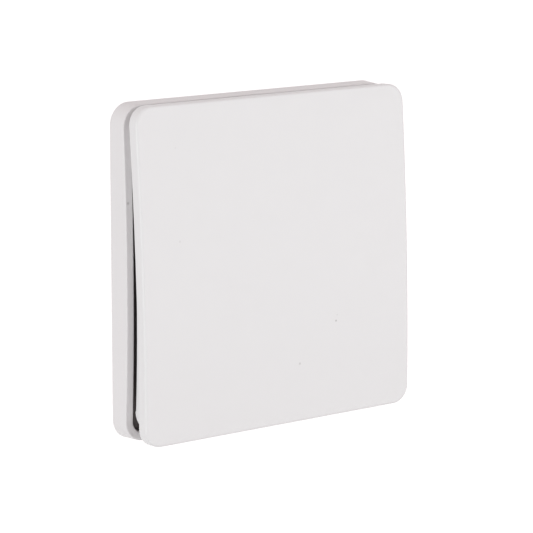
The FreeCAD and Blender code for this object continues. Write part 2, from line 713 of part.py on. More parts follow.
def rocker_plate():
    """White rocker: curved plate, side skirts, ribs and hooks."""
    adds = [skirt(side) for side in SIDES]
    adds += plate_ribs()
    adds += [plate_hook(sx, sy) for sx, sy in CORNERS]
    return rocked(plate_slab().fuse(adds).removeSplitter())


def carrier_cheek(side):
    """Cheek that hangs from the carrier and runs on a hinge pin."""
    x0 = cheek_inner if side > 0 else -cheek_outer
    x1 = x0 + CHEEK_T
    cheek = box(x0, x1, -CHEEK_RADIUS, CHEEK_RADIUS, hinge_z, carrier_bottom)
    cheek = cheek.fuse(rod(0.0, hinge_z, CHEEK_RADIUS, x0, x1))
    return cheek


def carrier_fork():
    """Fork that takes the lever's tip between two jaws."""
    slot_half = DRIVE_TIP_R + FORK_CLEARANCE
    floor = fork_mouth - FORK_JAW_LENGTH
    low = drive_z - slot_half - FORK_JAW_T
    half_w = FORK_HALF_WIDTH
    block = box(-half_w, half_w, floor - FORK_BACK_T, fork_mouth, low, carrier_bottom)
    slot = box(-half_w, half_w, floor, fork_mouth, drive_z - slot_half, drive_z + slot_half)
    return block.cut(slot)


def rocker_carrier():
    """Black carrier under the plate, with cheeks and fork."""
    sheet = rounded_prism(cheek_outer, carrier_half_y, CARRIER_RADIUS, carrier_bottom, carrier_top)
    adds = [carrier_cheek(side) for side in SIDES]
    adds.append(carrier_fork())
    shape = sheet.fuse(adds)
    low = carrier_bottom - 1.0
    high = carrier_top + 1.0
    hole_x = carrier_opening_x
    cuts = [box(-hole_x, hole_x, carrier_opening_bottom, carrier_opening_top, low, high)]
    gap = HOOK_SLOT_CLEARANCE
    half_w = HOOK_WIDTH / 2.0 + gap
    half_t = HOOK_T / 2.0
    for sx, sy in CORNERS:
        x = sx * hook_x
        y0 = sy * hook_y - half_t - gap
        y1 = sy * hook_y + half_t + gap
        cuts.append(box(x - half_w, x + half_w, y0, y1, low, high))
    bore = PIN_R + PIN_RUNNING_CLEARANCE
    cuts.append(rod(0.0, hinge_z, bore, cheek_inner - 1.0, cheek_outer + 1.0))
    cuts.append(rod(0.0, hinge_z, bore, -cheek_outer - 1.0, -cheek_inner + 1.0))
    return rocked(shape.cut(cuts))


def generator_cradle():
    """Moulded cradle that carries coil, poles and the core's pivot."""
    half_x = cradle_half_x
    shape = box(-half_x, half_x, cradle_bottom, cradle_top, FLOOR_T, cradle_face)
    adds = []
    for side in SIDES:
        x0 = cradle_wall_inner if side > 0 else -cradle_wall_outer
        x1 = x0 + CRADLE_WALL_T
        half_y = CRADLE_WALL_HALF_Y
        adds.append(box(x0, x1, CORE_PIVOT_Y - half_y, CORE_PIVOT_Y + half_y, FLOOR_T, core_z))
        adds.append(rod(CORE_PIVOT_Y, core_z, CRADLE_WALL_RADIUS, x0, x1))
        adds.append(post(side * POLE_SCREW_X, pole_screw_y, POLE_BOSS_R, FLOOR_T, front_pole_back))
    ledge_top = rear_pole_front - POLE_T
    half_w = POLE_HALF_WIDTH
    adds.append(box(-half_w, half_w, pole_bottom, magnet_top, FLOOR_T, ledge_top))
    shape = shape.fuse(adds)
    cuts = []
    for x, y in peg_places():
        cuts.append(post(x, y, PEG_R + PEG_CLEARANCE, FLOOR_T - 1.0, cradle_face + 1.0))
    for side in SIDES:
        bore = POLE_SCREW_R + SCREW_THREAD_CLEARANCE
        cuts.append(post(side * POLE_SCREW_X, pole_screw_y, bore, cradle_face, front_pole_back + 1.0))
    reach = cradle_wall_outer + 1.0
    cuts.append(rod(CORE_PIVOT_Y, core_z, TRUNNION_R + PIN_RUNNING_CLEARANCE, -reach, reach))
    return shape.cut(cuts)


def coil_bobbin():
    """Bobbin with two flanges and a slot for the core."""
    core_x = slot_half_x + BOBBIN_WALL
    core_half_z = slot_half_z + BOBBIN_WALL
    shape = box(-core_x, core_x, bobbin_bottom, bobbin_top, core_z - core_half_z, core_z + core_half_z)
    flanges = []
    for y0 in (bobbin_bottom, bobbin_top - BOBBIN_FLANGE_T):
        y1 = y0 + BOBBIN_FLANGE_T
        half_x = BOBBIN_FLANGE_HALF_X
        half_z = BOBBIN_FLANGE_HALF_Z
        flanges.append(box(-half_x, half_x, y0, y1, core_z - half_z, core_z + half_z))
    shape = shape.fuse(flanges)
    slot = box(-slot_half_x, slot_half_x, bobbin_bottom - 1.0, bobbin_top + 1.0, core_z - slot_half_z,
               core_z + slot_half_z)
    return shape.cut(slot)


def coil_winding():
    """Copper winding between the bobbin's flanges."""
    half_x = BOBBIN_FLANGE_HALF_X - WINDING_STEP * 2.0
    half_z = BOBBIN_FLANGE_HALF_Z - WINDING_STEP
    y0 = bobbin_bottom + BOBBIN_FLANGE_T
    y1 = bobbin_top - BOBBIN_FLANGE_T
    outer = rounded_prism(half_x, half_z, WINDING_RADIUS, y0, y1)
    core_x = slot_half_x + BOBBIN_WALL
    core_half_z = slot_half_z + BOBBIN_WALL
    hole = box(-core_x, core_x, -core_half_z, core_half_z, y0 - 1.0, y1 + 1.0)
    shape = outer.cut(hole)
    shape.rotate(vec(0, 0, 0), vec(1, 0, 0), -90)
    shape.translate(vec(0, 0, core_z))
    return shape


def core():
    """T-shaped soft iron core that rocks between the poles."""
    z0 = core_z - CORE_T / 2.0
    z1 = core_z + CORE_T / 2.0
    leg = box(-CORE_HALF_WIDTH, CORE_HALF_WIDTH, core_bar_top, core_tip_y, z0, z1)
    bar_half = lever_arm_inner + LEVER_GRIP
    bar = box(-bar_half, bar_half, core_bar_bottom, core_bar_top, z0, z1)
    return levered(leg.fuse(bar).removeSplitter())


def core_lever():
    """Lever moulded on the core, with trunnions and a driven tip."""
    z0 = core_z - LEVER_HALF_THICK
    z1 = core_z + LEVER_HALF_THICK
    shape = box(-lever_arm_outer, lever_arm_outer, beam_bottom, core_bar_bottom, z0, z1)
    adds = []
    for side in SIDES:
        x0 = lever_arm_inner if side > 0 else -lever_arm_outer
        adds.append(box(x0, x0 + LEVER_ARM_T, core_bar_bottom, CORE_PIVOT_Y, z0, z1))
        adds.append(rod(CORE_PIVOT_Y, core_z, LEVER_HALF_THICK, x0, x0 + LEVER_ARM_T))
        start = lever_arm_outer if side > 0 else -cradle_wall_outer
        adds.append(rod(CORE_PIVOT_Y, core_z, TRUNNION_R, start, start + cradle_wall_outer - lever_arm_outer))
    half_w = DRIVE_HALF_WIDTH
    adds.append(rod(drive_y, drive_z, DRIVE_TIP_R, -half_w, half_w))
    tip_r = DRIVE_TIP_R
    adds.append(box(-half_w, half_w, drive_y, beam_bottom + 1.0, drive_z - tip_r, drive_z + tip_r))
    shape = shape.fuse(adds)
    bar_half = lever_arm_inner + LEVER_GRIP
    half_t = CORE_T / 2.0
    grip = box(-bar_half, bar_half, core_bar_bottom, core_bar_top, core_z - half_t, core_z + half_t)
    return levered(shape.cut(grip))


def rear_pole():
    """Rear pole plate under the magnet."""
    half_w = POLE_HALF_WIDTH
    return box(-half_w, half_w, pole_bottom, magnet_top, rear_pole_front - POLE_T, rear_pole_front)


def front_pole():
    """Front pole plate with two ears for its screws."""
    z0 = front_pole_back
    z1 = z0 + POLE_T
    half_w = POLE_HALF_WIDTH
    ear = POLE_EAR_HALF_WIDTH
    plate = box(-half_w, half_w, pole_bottom, magnet_top, z0, z1)
    plate = plate.fuse(box(-ear, ear, magnet_bottom, magnet_top, z0, z1)).removeSplitter()
    holes = []
    for side in SIDES:
        bore = POLE_SCREW_R + SCREW_CLEARANCE
        holes.append(post(side * POLE_SCREW_X, pole_screw_y, bore, z0 - 1.0, z1 + 1.0))
    return plate.cut(holes)


def magnet():
    """Block magnet between the two pole plates."""
    half_w = MAGNET_HALF_WIDTH
    return box(-half_w, half_w, magnet_bottom, magnet_top, rear_pole_front, front_pole_back)


def pole_screws():
    """Two screws that clamp the front pole plate."""
    seat = front_pole_back + POLE_T
    size = (POLE_SCREW_R, POLE_SCREW_HEAD_R, POLE_SCREW_HEAD_H, cradle_face + SCREW_THREAD_CLEARANCE)
    return Part.makeCompound([screw(side * POLE_SCREW_X, pole_screw_y, seat, *size) for side in SIDES])


def circuit_board():
    """L-shaped circuit board on the frame's posts."""
    x = board_half_x
    points = [(-x, strip_bottom), (x, strip_bottom), (x, strip_top)]
    points += [(arm_right, strip_top), (arm_right, arm_top)]
    points += [(arm_left, arm_top), (arm_left, strip_top), (-x, strip_top)]
    board = outline_prism(points, board_bottom, board_face)
    low = board_bottom - 1.0
    high = board_face + 1.0
    holes = [post(wall_screw_x, 0.0, TUNNEL_R + TUNNEL_WALL + BOARD_TUNNEL_GAP, low, high)]
    for hx, hy in BOARD_SCREW_AT:
        holes.append(post(hx, hy, BOARD_SCREW_R + SCREW_CLEARANCE, low, high))
    return board.cut(holes)


def board_screws():
    """Two screws through the board into the frame's posts."""
    tip = board_bottom - BOARD_SCREW_REACH + SCREW_THREAD_CLEARANCE
    size = (BOARD_SCREW_R, BOARD_SCREW_HEAD_R, BOARD_SCREW_HEAD_H, tip)
    return Part.makeCompound([screw(x, y, board_face, *size) for x, y in BOARD_SCREW_AT])


def on_board(x, y, width, height, rise):
    """Block that stands on the board."""
    half_w = width / 2.0
    half_h = height / 2.0
    return box(x - half_w, x + half_w, y - half_h, y + half_h, board_face, board_face + rise)


def radio_chip():
    """Flat radio chip with a corner dimple."""
    x = board_half_x - CHIP_INSET
    body = on_board(x, strip_middle, CHIP_SIDE, CHIP_SIDE, CHIP_RISE)
    away = CHIP_SIDE / 2.0 - CHIP_DIMPLE_INSET
    top = board_face + CHIP_RISE
    return body.cut(post(x - away, strip_middle + away, CHIP_DIMPLE_R, top - CHIP_DIMPLE_DEPTH, top + 1.0))


def crystal():
    """Metal can of the radio's crystal."""
    body = on_board(board_half_x - CRYSTAL_INSET, strip_middle, CRYSTAL_WIDTH, CRYSTAL_HEIGHT, CRYSTAL_RISE)
    upright = [edge for edge in body.Edges if edge.BoundBox.ZLength > CRYSTAL_RISE / 2.0]
    return body.makeFillet(CRYSTAL_ROUND, upright)


def storage_capacitors():
    """Two block capacitors that hold the pulse's charge."""
    size = (CAPACITOR_WIDTH, CAPACITOR_HEIGHT, CAPACITOR_RISE)
    places = [inset - board_half_x for inset in CAPACITOR_INSETS]
    return Part.makeCompound([on_board(x, strip_middle, *size) for x in places])


def inductor():
    """Square power inductor with a round top field."""
    x = board_half_x - INDUCTOR_INSET
    body = on_board(x, strip_middle, INDUCTOR_SIDE, INDUCTOR_SIDE, INDUCTOR_RISE)
    top = board_face + INDUCTOR_RISE
    return body.cut(post(x, strip_middle, INDUCTOR_FIELD_R, top - INDUCTOR_FIELD_DEPTH, top + 1.0))


def regulator():
    """Small voltage regulator."""
    y = arm_top - REGULATOR_DROP
    return on_board(arm_middle, y, REGULATOR_WIDTH, REGULATOR_HEIGHT, REGULATOR_RISE)


def rectifier_diodes():
    """Four diodes of the rectifier bridge."""
    diodes = []
    for row in (0, 1):
        for side in SIDES:
            x = arm_middle + side * DIODE_PITCH_X / 2.0
            y = arm_top - DIODE_DROP - row * DIODE_PITCH_Y
            diodes.append(on_board(x, y, DIODE_WIDTH, DIODE_HEIGHT, DIODE_RISE))
    return Part.makeCompound(diodes)


def chip_parts():
    """Small resistors and capacitors on the board."""
    size = (SMALL_WIDTH, SMALL_HEIGHT, SMALL_RISE)
    places = []
    for step in (-1, 0, 1):
        places.append((board_half_x - SMALL_ROW_INSET, strip_middle + step * SMALL_PITCH))
        places.append((board_half_x - SMALL_ROW_INSET - SMALL_PITCH, strip_middle + step * SMALL_PITCH))
    for y in (arm_top - SMALL_ARM_DROP, strip_top + SMALL_ARM_RISE):
        for side in SIDES:
            places.append((arm_middle + side * SMALL_PITCH, y))
    return Part.makeCompound([on_board(x, y, *size) for x, y in places])


def button_case():
    """Case of the pairing button."""
    top = board_face + BUTTON_HEIGHT
    case = on_board(button_x, strip_middle, BUTTON_SIDE, BUTTON_SIDE, BUTTON_HEIGHT)
    bore_r = BUTTON_CAP_R + BUTTON_CAP_CLEARANCE
    return case.cut(post(button_x, strip_middle, bore_r, top - BUTTON_BORE_DEPTH, top + 1.0))


def button_cap():
    """Round cap of the pairing button, reached through the chassis roof."""
    low = board_face + BUTTON_HEIGHT - BUTTON_CAP_SINK
    return post(button_x, strip_middle, BUTTON_CAP_R, low, roof_top - BUTTON_TIP_BELOW_ROOF)


def antenna():
    """Bent wire antenna that starts on the board and runs round the room."""
    foot = vec(ANTENNA_INSET - board_half_x, strip_top - ANTENNA_FOOT_DROP, board_face)
    rise = foot + vec(0, 0, ANTENNA_RISE + ANTENNA_R)
    bend = vec(rise.x, room_half_y - ANTENNA_WALL_GAP, rise.z)
    end = vec(-rise.x, bend.y, rise.z)
    return bent_wire([foot, rise, bend, end], ANTENNA_R, ANTENNA_BEND)


def coil_leads():
    """Two wires from the bobbin's flange to the board."""
    leads = []
    y = bobbin_top - BOBBIN_FLANGE_T / 2.0
    for index, rise in enumerate((LEAD_LOW_RISE, LEAD_HIGH_RISE)):
        z = board_face + rise
        reach = arm_left + LEAD_INSET + index * LEAD_PITCH
        points = [vec(BOBBIN_FLANGE_HALF_X, y, z), vec(reach, y, z), vec(reach, y, board_face)]
        leads.append(bent_wire(points, LEAD_R, LEAD_BEND))
    return Part.makeCompound(leads)


def rocked(shape):
    """Tilt a rocker piece to its rest, with the top pushed in."""
    shape.rotate(vec(0, 0, hinge_z), vec(1, 0, 0), -TILT_DEG)
    return shape


def levered(shape):
    """Tilt a core piece to the rest that the rocker gives it."""
    shape.rotate(vec(0, CORE_PIVOT_Y, core_z), vec(1, 0, 0), -core_tilt_deg)
    return shape


NODES = {
    "frame": frame,
    "chassis": chassis,
    "chassis_screws": chassis_screws,
    "hinge_pins": hinge_pins,
    "rubber_stops": rubber_stops,
    "rocker_plate": rocker_plate,
    "rocker_carrier": rocker_carrier,
    "generator_cradle": generator_cradle,
    "coil_bobbin": coil_bobbin,
    "coil_winding": coil_winding,
    "coil_leads": coil_leads,
    "core": core,
    "core_lever": core_lever,
    "rear_pole": rear_pole,
    "front_pole": front_pole,
    "pole_screws": pole_screws,
    "magnet": magnet,
    "circuit_board": circuit_board,
    "board_screws": board_screws,
    "radio_chip": radio_chip,
    "crystal": crystal,
    "storage_capacitors": storage_capacitors,
    "inductor": inductor,
    "regulator": regulator,
    "rectifier_diodes": rectifier_diodes,
    "chip_parts": chip_parts,
    "antenna": antenna,
    "button_case": button_case,
    "button_cap": button_cap,
}


def main():
    """Build each piece, stand it up and write it out."""
    os.makedirs("parts", exist_ok=True)
    for name, build in NODES.items():
        shape = build()
        shape.rotate(vec(0, 0, 0), vec(1, 0, 0), 90)
        shape.exportStep("parts/" + name + ".step")
        print(name, len(shape.Solids), shape.isValid(), round(shape.Volume, 2))


main()
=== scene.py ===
"""Looks of a square white wireless wall switch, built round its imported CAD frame.

The rocker plate, the frame and the inner parts come from the CAD. This script gives every one of
them a procedural finish, adds the small parts that only looks need, and sets the studio and camera.
Names that end in _mm, _m or _px give their unit. In the assemblies all plain sizes are millimetres.
"""

import json
import logging
import math
from abc import ABC, abstractmethod
from contextlib import contextmanager
from dataclasses import dataclass
from enum import Enum
from typing import Callable, Dict, Iterator, List, Optional, Sequence, Tuple, Type, Union

import bpy
from mathutils import Matrix, Vector

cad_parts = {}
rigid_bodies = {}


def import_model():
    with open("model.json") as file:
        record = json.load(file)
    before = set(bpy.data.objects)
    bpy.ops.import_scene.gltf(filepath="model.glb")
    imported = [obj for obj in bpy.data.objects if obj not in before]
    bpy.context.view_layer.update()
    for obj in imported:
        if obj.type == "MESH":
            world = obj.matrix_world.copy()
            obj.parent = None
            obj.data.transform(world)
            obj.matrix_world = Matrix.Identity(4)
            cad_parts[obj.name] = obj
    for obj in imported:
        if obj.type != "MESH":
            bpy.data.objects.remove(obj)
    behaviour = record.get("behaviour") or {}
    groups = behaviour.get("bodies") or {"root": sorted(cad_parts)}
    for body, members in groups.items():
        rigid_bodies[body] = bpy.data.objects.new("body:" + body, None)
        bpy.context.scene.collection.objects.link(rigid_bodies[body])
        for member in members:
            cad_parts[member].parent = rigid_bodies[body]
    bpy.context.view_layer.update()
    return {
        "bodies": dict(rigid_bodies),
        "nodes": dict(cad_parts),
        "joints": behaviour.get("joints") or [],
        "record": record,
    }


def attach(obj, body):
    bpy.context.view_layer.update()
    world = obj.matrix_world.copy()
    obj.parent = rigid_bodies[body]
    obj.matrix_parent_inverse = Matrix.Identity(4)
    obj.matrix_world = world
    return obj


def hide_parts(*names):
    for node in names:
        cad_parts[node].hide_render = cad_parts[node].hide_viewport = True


logging.basicConfig(level=logging.INFO, format="%(name)s: %(message)s")
LOG = logging.getLogger("wall_switch")

Colour = Tuple[float, float, float]
Point = Tuple[float, float, float]
Spot = Tuple[float, float]
Socket = bpy.types.NodeSocket
Operand = Union[float, Socket, None]

MM = 0.001
ORIGIN = (0.0, 0.0, 0.0)
FACING_FRONT = (math.pi / 2.0, 0.0, 0.0)
WHITE = (1.0, 1.0, 1.0)
UNSTRETCHED = (1.0, 1.0, 1.0)


class Body(str, Enum):
    """Moving groups of the frame, by the names the record gives them."""

    BASE = "base"
    ROCKER = "rocker"
    CORE = "generator_core"
    BUTTON = "pairing_button"


class Grain(Enum):
    """Kinds of fine surface relief."""

    MOULDED = "moulded"
    BRUSHED = "brushed"
    LAMINATE = "laminate"


@dataclass(frozen=True)
class Finish:
    """How one material looks.

    Attributes:
        name: material name.
        colour: linear base colour.
        roughness: middle roughness.
        metallic: 0 for plastics, 1 for metals.
        grain: kind of fine relief.
        grain_mm: size of one grain.
        relief_mm: height of the relief.
        colour_spread: share by which the colour drifts over the surface.
        colour_grains: size of one patch of colour, in grains.
        roughness_spread: amount by which the roughness drifts.
        roughness_grains: size of one patch of roughness, in grains.
        coat: weight of the clear top layer.
        specular: specular level of the surface.
    """

    name: str
    colour: Colour
    roughness: float
    metallic: float = 0.0
    grain: Grain = Grain.MOULDED
    grain_mm: float = 0.35
    relief_mm: float = 0.002
    colour_spread: float = 0.02
    colour_grains: float = 40.0
    roughness_spread: float = 0.05
    roughness_grains: float = 12.0
    coat: float = 0.0
    specular: float = 0.5


@dataclass(frozen=True)
class Speck:
    """A grain of dust that lies on a surface.

    Attributes:
        at_mm: place of the speck in the object's frame.
        radius_mm: radius of the dark mark.
        strength: how dark the mark is, from 0 to 1.
        colour: linear colour of the dust.
    """

    at_mm: Point
    radius_mm: float
    strength: float
    colour: Colour = (0.16, 0.14, 0.13)


@dataclass(frozen=True)
class Ring:
    """Round mark that a mould's ejector pin leaves.

    Attributes:
        at_mm: its centre in the object's frame.
        radius_mm: its radius.
        half_width_mm: half the width of its line.
        depth_mm: how deep the line is pressed in.
    """

    at_mm: Point
    radius_mm: float = 2.4
    half_width_mm: float = 0.16
    depth_mm: float = 0.05


@dataclass(frozen=True)
class TrackPattern:
    """Copper tracks and vias under a board's solder mask, one pattern to a square cell.

    Attributes:
        pitch_mm: side of a cell.
        half_track: half a track's width, as a share of the cell.
        via: a via's radius, as a share of the cell.
        upright_from: chance from which a cell's track runs upright.
        via_from: chance from which a cell has a via.
    """

    pitch_mm: float = 1.1
    half_track: float = 0.13
    via: float = 0.33
    upright_from: float = 0.45
    via_from: float = 0.8


class NodeTree:
    """Short way to add and join shader nodes."""

    def __init__(self, owner: Union[bpy.types.Material, bpy.types.World]) -> None:
        """Clear the owner's tree and keep it.

        Args:
            owner: the material or the world to fill.
        """
        owner.use_nodes = True
        self.tree = owner.node_tree
        self.tree.nodes.clear()

    def add(self, kind: str, **values: object) -> bpy.types.Node:
        """Add a node and set its properties.

        Args:
            kind: node type name.
            **values: properties of the node.

        Returns:
            The new node.
        """
        node = self.tree.nodes.new(kind)
        for name, value in values.items():
            setattr(node, name, value)
        return node

    def link(self, source: Socket, target: Socket) -> None:
        """Join an output socket to an input socket."""
        self.tree.links.new(source, target)

    def math(self, operation: str, first: Operand, second: Operand = None, third: Operand = None,
             clamp: bool = False) -> Socket:
        """Add a math node.

        Args:
            operation: name of the operation.
            first: number or socket.
            second: number or socket.
            third: number or socket.
            clamp: keep the result between 0 and 1.

        Returns:
            The result socket.
        """
        node = self.add("ShaderNodeMath", operation=operation, use_clamp=clamp)
        for index, value in enumerate((first, second, third)):
            if isinstance(value, (int, float)):
                node.inputs[index].default_value = value
            elif value is not None:
                self.link(value, node.inputs[index])
        return node.outputs[0]

    def vector(self, operation: str, source: Socket, output: str = "Vector") -> Socket:
        """Add a vector math node that works on one vector.

        Args:
            operation: name of the operation.
            source: socket with the vector.
            output: name of the output that is wanted.

        Returns:
            That output's socket.
        """
        node = self.add("ShaderNodeVectorMath", operation=operation)
        self.link(source, node.inputs[0])
        return node.outputs[output]

    def distance(self, place: Socket, at_mm: Point) -> Socket:
        """Distance of the surface from one point.

        Args:
            place: socket with the surface's place, in metres.
            at_mm: the point.

        Returns:
            The distance socket, in metres.
        """
        away = self.vector("DISTANCE", place, "Value")
        away.node.inputs[1].default_value = tuple(value * MM for value in at_mm)
        return away

    def blend(self, share: Socket, first: Union[Colour, Socket], second: Colour) -> Socket:
        """Mix two colours.

        Args:
            share: socket with the second colour's share.
            first: colour, or socket with one.
            second: the colour mixed in.

        Returns:
            The mixed colour's socket.
        """
        mix = self.add("ShaderNodeMix", data_type="RGBA")
        self.link(share, mix.inputs["Factor"])
        if isinstance(first, tuple):
            mix.inputs["A"].default_value = (*first, 1.0)
        else:
            self.link(first, mix.inputs["A"])
        mix.inputs["B"].default_value = (*second, 1.0)
        return mix.outputs["Result"]

    def bump(self, height: Socket, depth_mm: float, below: Optional[Socket] = None,
             pressed_in: bool = False) -> Socket:
        """Turn a height from 0 to 1 into relief.

        Args:
            height: socket with the height.
            depth_mm: relief at a height of 1.
            below: socket with the normal of relief that is there already.
            pressed_in: whether the relief goes into the surface.

        Returns:
            The normal's socket.
        """
        node = self.add("ShaderNodeBump", invert=pressed_in)
        node.inputs["Strength"].default_value = 1.0
        node.inputs["Distance"].default_value = depth_mm * MM
        self.link(height, node.inputs["Height"])
        if below is not None:
            self.link(below, node.inputs["Normal"])
        return node.outputs["Normal"]

    def seen(self) -> Socket:
        """Tell the rays that show a surface from those that only light something.

        Returns:
            A socket with 1 for camera, glossy and transmission rays and 0 for others.
        """
        path = self.add("ShaderNodeLightPath")
        shown = self.math("MAXIMUM", path.outputs["Is Camera Ray"], path.outputs["Is Glossy Ray"])
        return self.math("MAXIMUM", shown, path.outputs["Is Transmission Ray"])


class FinishNodes:
    """Node material of one finish, on the object's own coordinates.

    Attributes:
        tracks: the pattern of a board's tracks.
        brush_stretch: scale of the noise along each axis on brushed metal.
    """

    tracks: TrackPattern = TrackPattern()
    brush_stretch: Point = (1.0, 1.0, 0.06)

    def __init__(self, finish: Finish) -> None:
        """Start the material.

        Args:
            finish: the look wanted.
        """
        self.finish = finish
        self.material = bpy.data.materials.new(finish.name)
        self.nodes = NodeTree(self.material)
        self.place = self.nodes.add("ShaderNodeTexCoord").outputs["Object"]

    def build(self, specks: Sequence[Speck], rings: Sequence[Ring]) -> bpy.types.Material:
        """Add all nodes.

        Args:
            specks: dust marks on the surface.
            rings: ejector marks on the surface.

        Returns:
            The material.
        """
        nodes, finish = self.nodes, self.finish
        shader = nodes.add("ShaderNodeBsdfPrincipled")
        shader.inputs["Metallic"].default_value = finish.metallic
        shader.inputs["Coat Weight"].default_value = finish.coat
        shader.inputs["Specular IOR Level"].default_value = finish.specular
        colour = self._drift()
        for speck in specks:
            colour = self._speck(colour, speck)
        normal = self._relief()
        for ring in rings:
            normal = self._ring(normal, ring)
        nodes.link(colour, shader.inputs["Base Color"])
        nodes.link(self._roughness(), shader.inputs["Roughness"])
        nodes.link(normal, shader.inputs["Normal"])
        output = nodes.add("ShaderNodeOutputMaterial")
        nodes.link(shader.outputs["BSDF"], output.inputs["Surface"])
        self.material.diffuse_color = (*finish.colour, 1.0)
        return self.material

    def _noise(self, size_mm: float, detail: float, stretch: Point = UNSTRETCHED) -> Socket:
        """Noise over the surface.

        Args:
            size_mm: width of one cell.
            detail: how many finer layers lie over the first.
            stretch: scale of each axis; a small one draws the cells out.

        Returns:
            The noise socket, from 0 to 1.
        """
        mapping = self.nodes.add("ShaderNodeMapping")
        mapping.inputs["Scale"].default_value = stretch
        self.nodes.link(self.place, mapping.inputs["Vector"])
        noise = self.nodes.add("ShaderNodeTexNoise")
        noise.inputs["Scale"].default_value = 1.0 / (size_mm * MM)
        noise.inputs["Detail"].default_value = detail
        self.nodes.link(mapping.outputs["Vector"], noise.inputs["Vector"])
        return noise.outputs["Fac"]

    def _drift(self) -> Socket:
        """Base colour that drifts over the surface, or follows the tracks of a board.

        Returns:
            The colour socket.
        """
        finish = self.finish
        low = tuple(part * (1.0 - finish.colour_spread) for part in finish.colour)
        high = tuple(min(1.0, part * (1.0 + finish.colour_spread)) for part in finish.colour)
        if finish.grain is Grain.LAMINATE:
            share = self._tracks()
        else:
            share = self._noise(finish.grain_mm * finish.colour_grains, detail=3.0)
        return self.nodes.blend(share, low, high)

    def _roughness(self) -> Socket:
        """Roughness that drifts over the surface.

        Returns:
            The roughness socket.
        """
        finish = self.finish
        share = self._noise(finish.grain_mm * finish.roughness_grains, detail=2.0)
        spread = finish.roughness_spread
        return self.nodes.math("MULTIPLY_ADD", share, 2.0 * spread, finish.roughness - spread)

    def _relief(self) -> Socket:
        """Fine relief of the finish's grain.

        Returns:
            The normal's socket.
        """
        finish = self.finish
        if finish.grain is Grain.BRUSHED:
            height = self._noise(finish.grain_mm, detail=4.0, stretch=self.brush_stretch)
        elif finish.grain is Grain.LAMINATE:
            height = self._tracks()
        else:
            height = self._noise(finish.grain_mm, detail=3.0)
        return self.nodes.bump(height, finish.relief_mm)

    def _tracks(self) -> Socket:
        """Square-run copper tracks and round vias that show lighter through the solder mask.

        Returns:
            A socket with 1 on a track or via and 0 beside it.
        """
        nodes, tracks = self.nodes, self.tracks
        grid = nodes.vector("SCALE", self.place)
        grid.node.inputs["Scale"].default_value = 1.0 / (tracks.pitch_mm * MM)
        white_noise = nodes.add("ShaderNodeTexWhiteNoise", noise_dimensions="3D")
        nodes.link(nodes.vector("FLOOR", grid), white_noise.inputs["Vector"])
        chance = white_noise.outputs["Value"]
        within = nodes.add("ShaderNodeSeparateXYZ")
        nodes.link(nodes.vector("FRACTION", grid), within.inputs["Vector"])
        from_x = nodes.math("ABSOLUTE", nodes.math("SUBTRACT", within.outputs["X"], 0.5))
        from_z = nodes.math("ABSOLUTE", nodes.math("SUBTRACT", within.outputs["Z"], 0.5))
        turned = nodes.math("GREATER_THAN", chance, tracks.upright_from)
        upright = nodes.math("MULTIPLY", nodes.math("LESS_THAN", from_x, tracks.half_track), turned)
        level = nodes.math("MULTIPLY", nodes.math("LESS_THAN", from_z, tracks.half_track),
                           nodes.math("SUBTRACT", 1.0, turned))
        away = nodes.math("SQRT", nodes.math("ADD", nodes.math("POWER", from_x, 2.0),
                                             nodes.math("POWER", from_z, 2.0)))
        via = nodes.math("MULTIPLY", nodes.math("LESS_THAN", away, tracks.via),
                         nodes.math("GREATER_THAN", chance, tracks.via_from))
        return nodes.math("MAXIMUM", nodes.math("ADD", upright, level), via)

    def _speck(self, colour: Socket, speck: Speck) -> Socket:
        """Darken the colour round one point.

        Args:
            colour: the surface's colour so far.
            speck: the mark.

        Returns:
            The colour with the mark.
        """
        nodes = self.nodes
        away = nodes.distance(self.place, speck.at_mm)
        near = nodes.math("DIVIDE", away, speck.radius_mm * MM)
        dark = nodes.math("SUBTRACT", 1.0, near, clamp=True)
        return nodes.blend(nodes.math("MULTIPLY", dark, speck.strength, clamp=True), colour, speck.colour)

    def _ring(self, normal: Socket, ring: Ring) -> Socket:
        """Press a thin ring into the surface.

        Args:
            normal: the surface's normal so far.
            ring: the mark.

        Returns:
            The normal with the mark.
        """
        nodes = self.nodes
        away = nodes.distance(self.place, ring.at_mm)
        off = nodes.math("ABSOLUTE", nodes.math("SUBTRACT", away, ring.radius_mm * MM))
        near = nodes.math("SUBTRACT", 1.0, nodes.math("DIVIDE", off, ring.half_width_mm * MM), clamp=True)
        return nodes.bump(near, ring.depth_mm, normal, pressed_in=True)


class FinishMaker:
    """Makes the material of each finish once."""

    def __init__(self) -> None:
        """Start with no materials made."""
        self.made: Dict[str, bpy.types.Material] = {}

    def make(self, finish: Finish, specks: Sequence[Speck] = (),
             rings: Sequence[Ring] = ()) -> bpy.types.Material:
        """Build the material of a finish, or return the one made before.

        Args:
            finish: the look wanted.
            specks: dust marks on the surface.
            rings: ejector marks on the surface.

        Returns:
            The material.
        """
        if finish.name not in self.made:
            self.made[finish.name] = FinishNodes(finish).build(specks, rings)
            LOG.info("finish %s", finish.name)
        return self.made[finish.name]


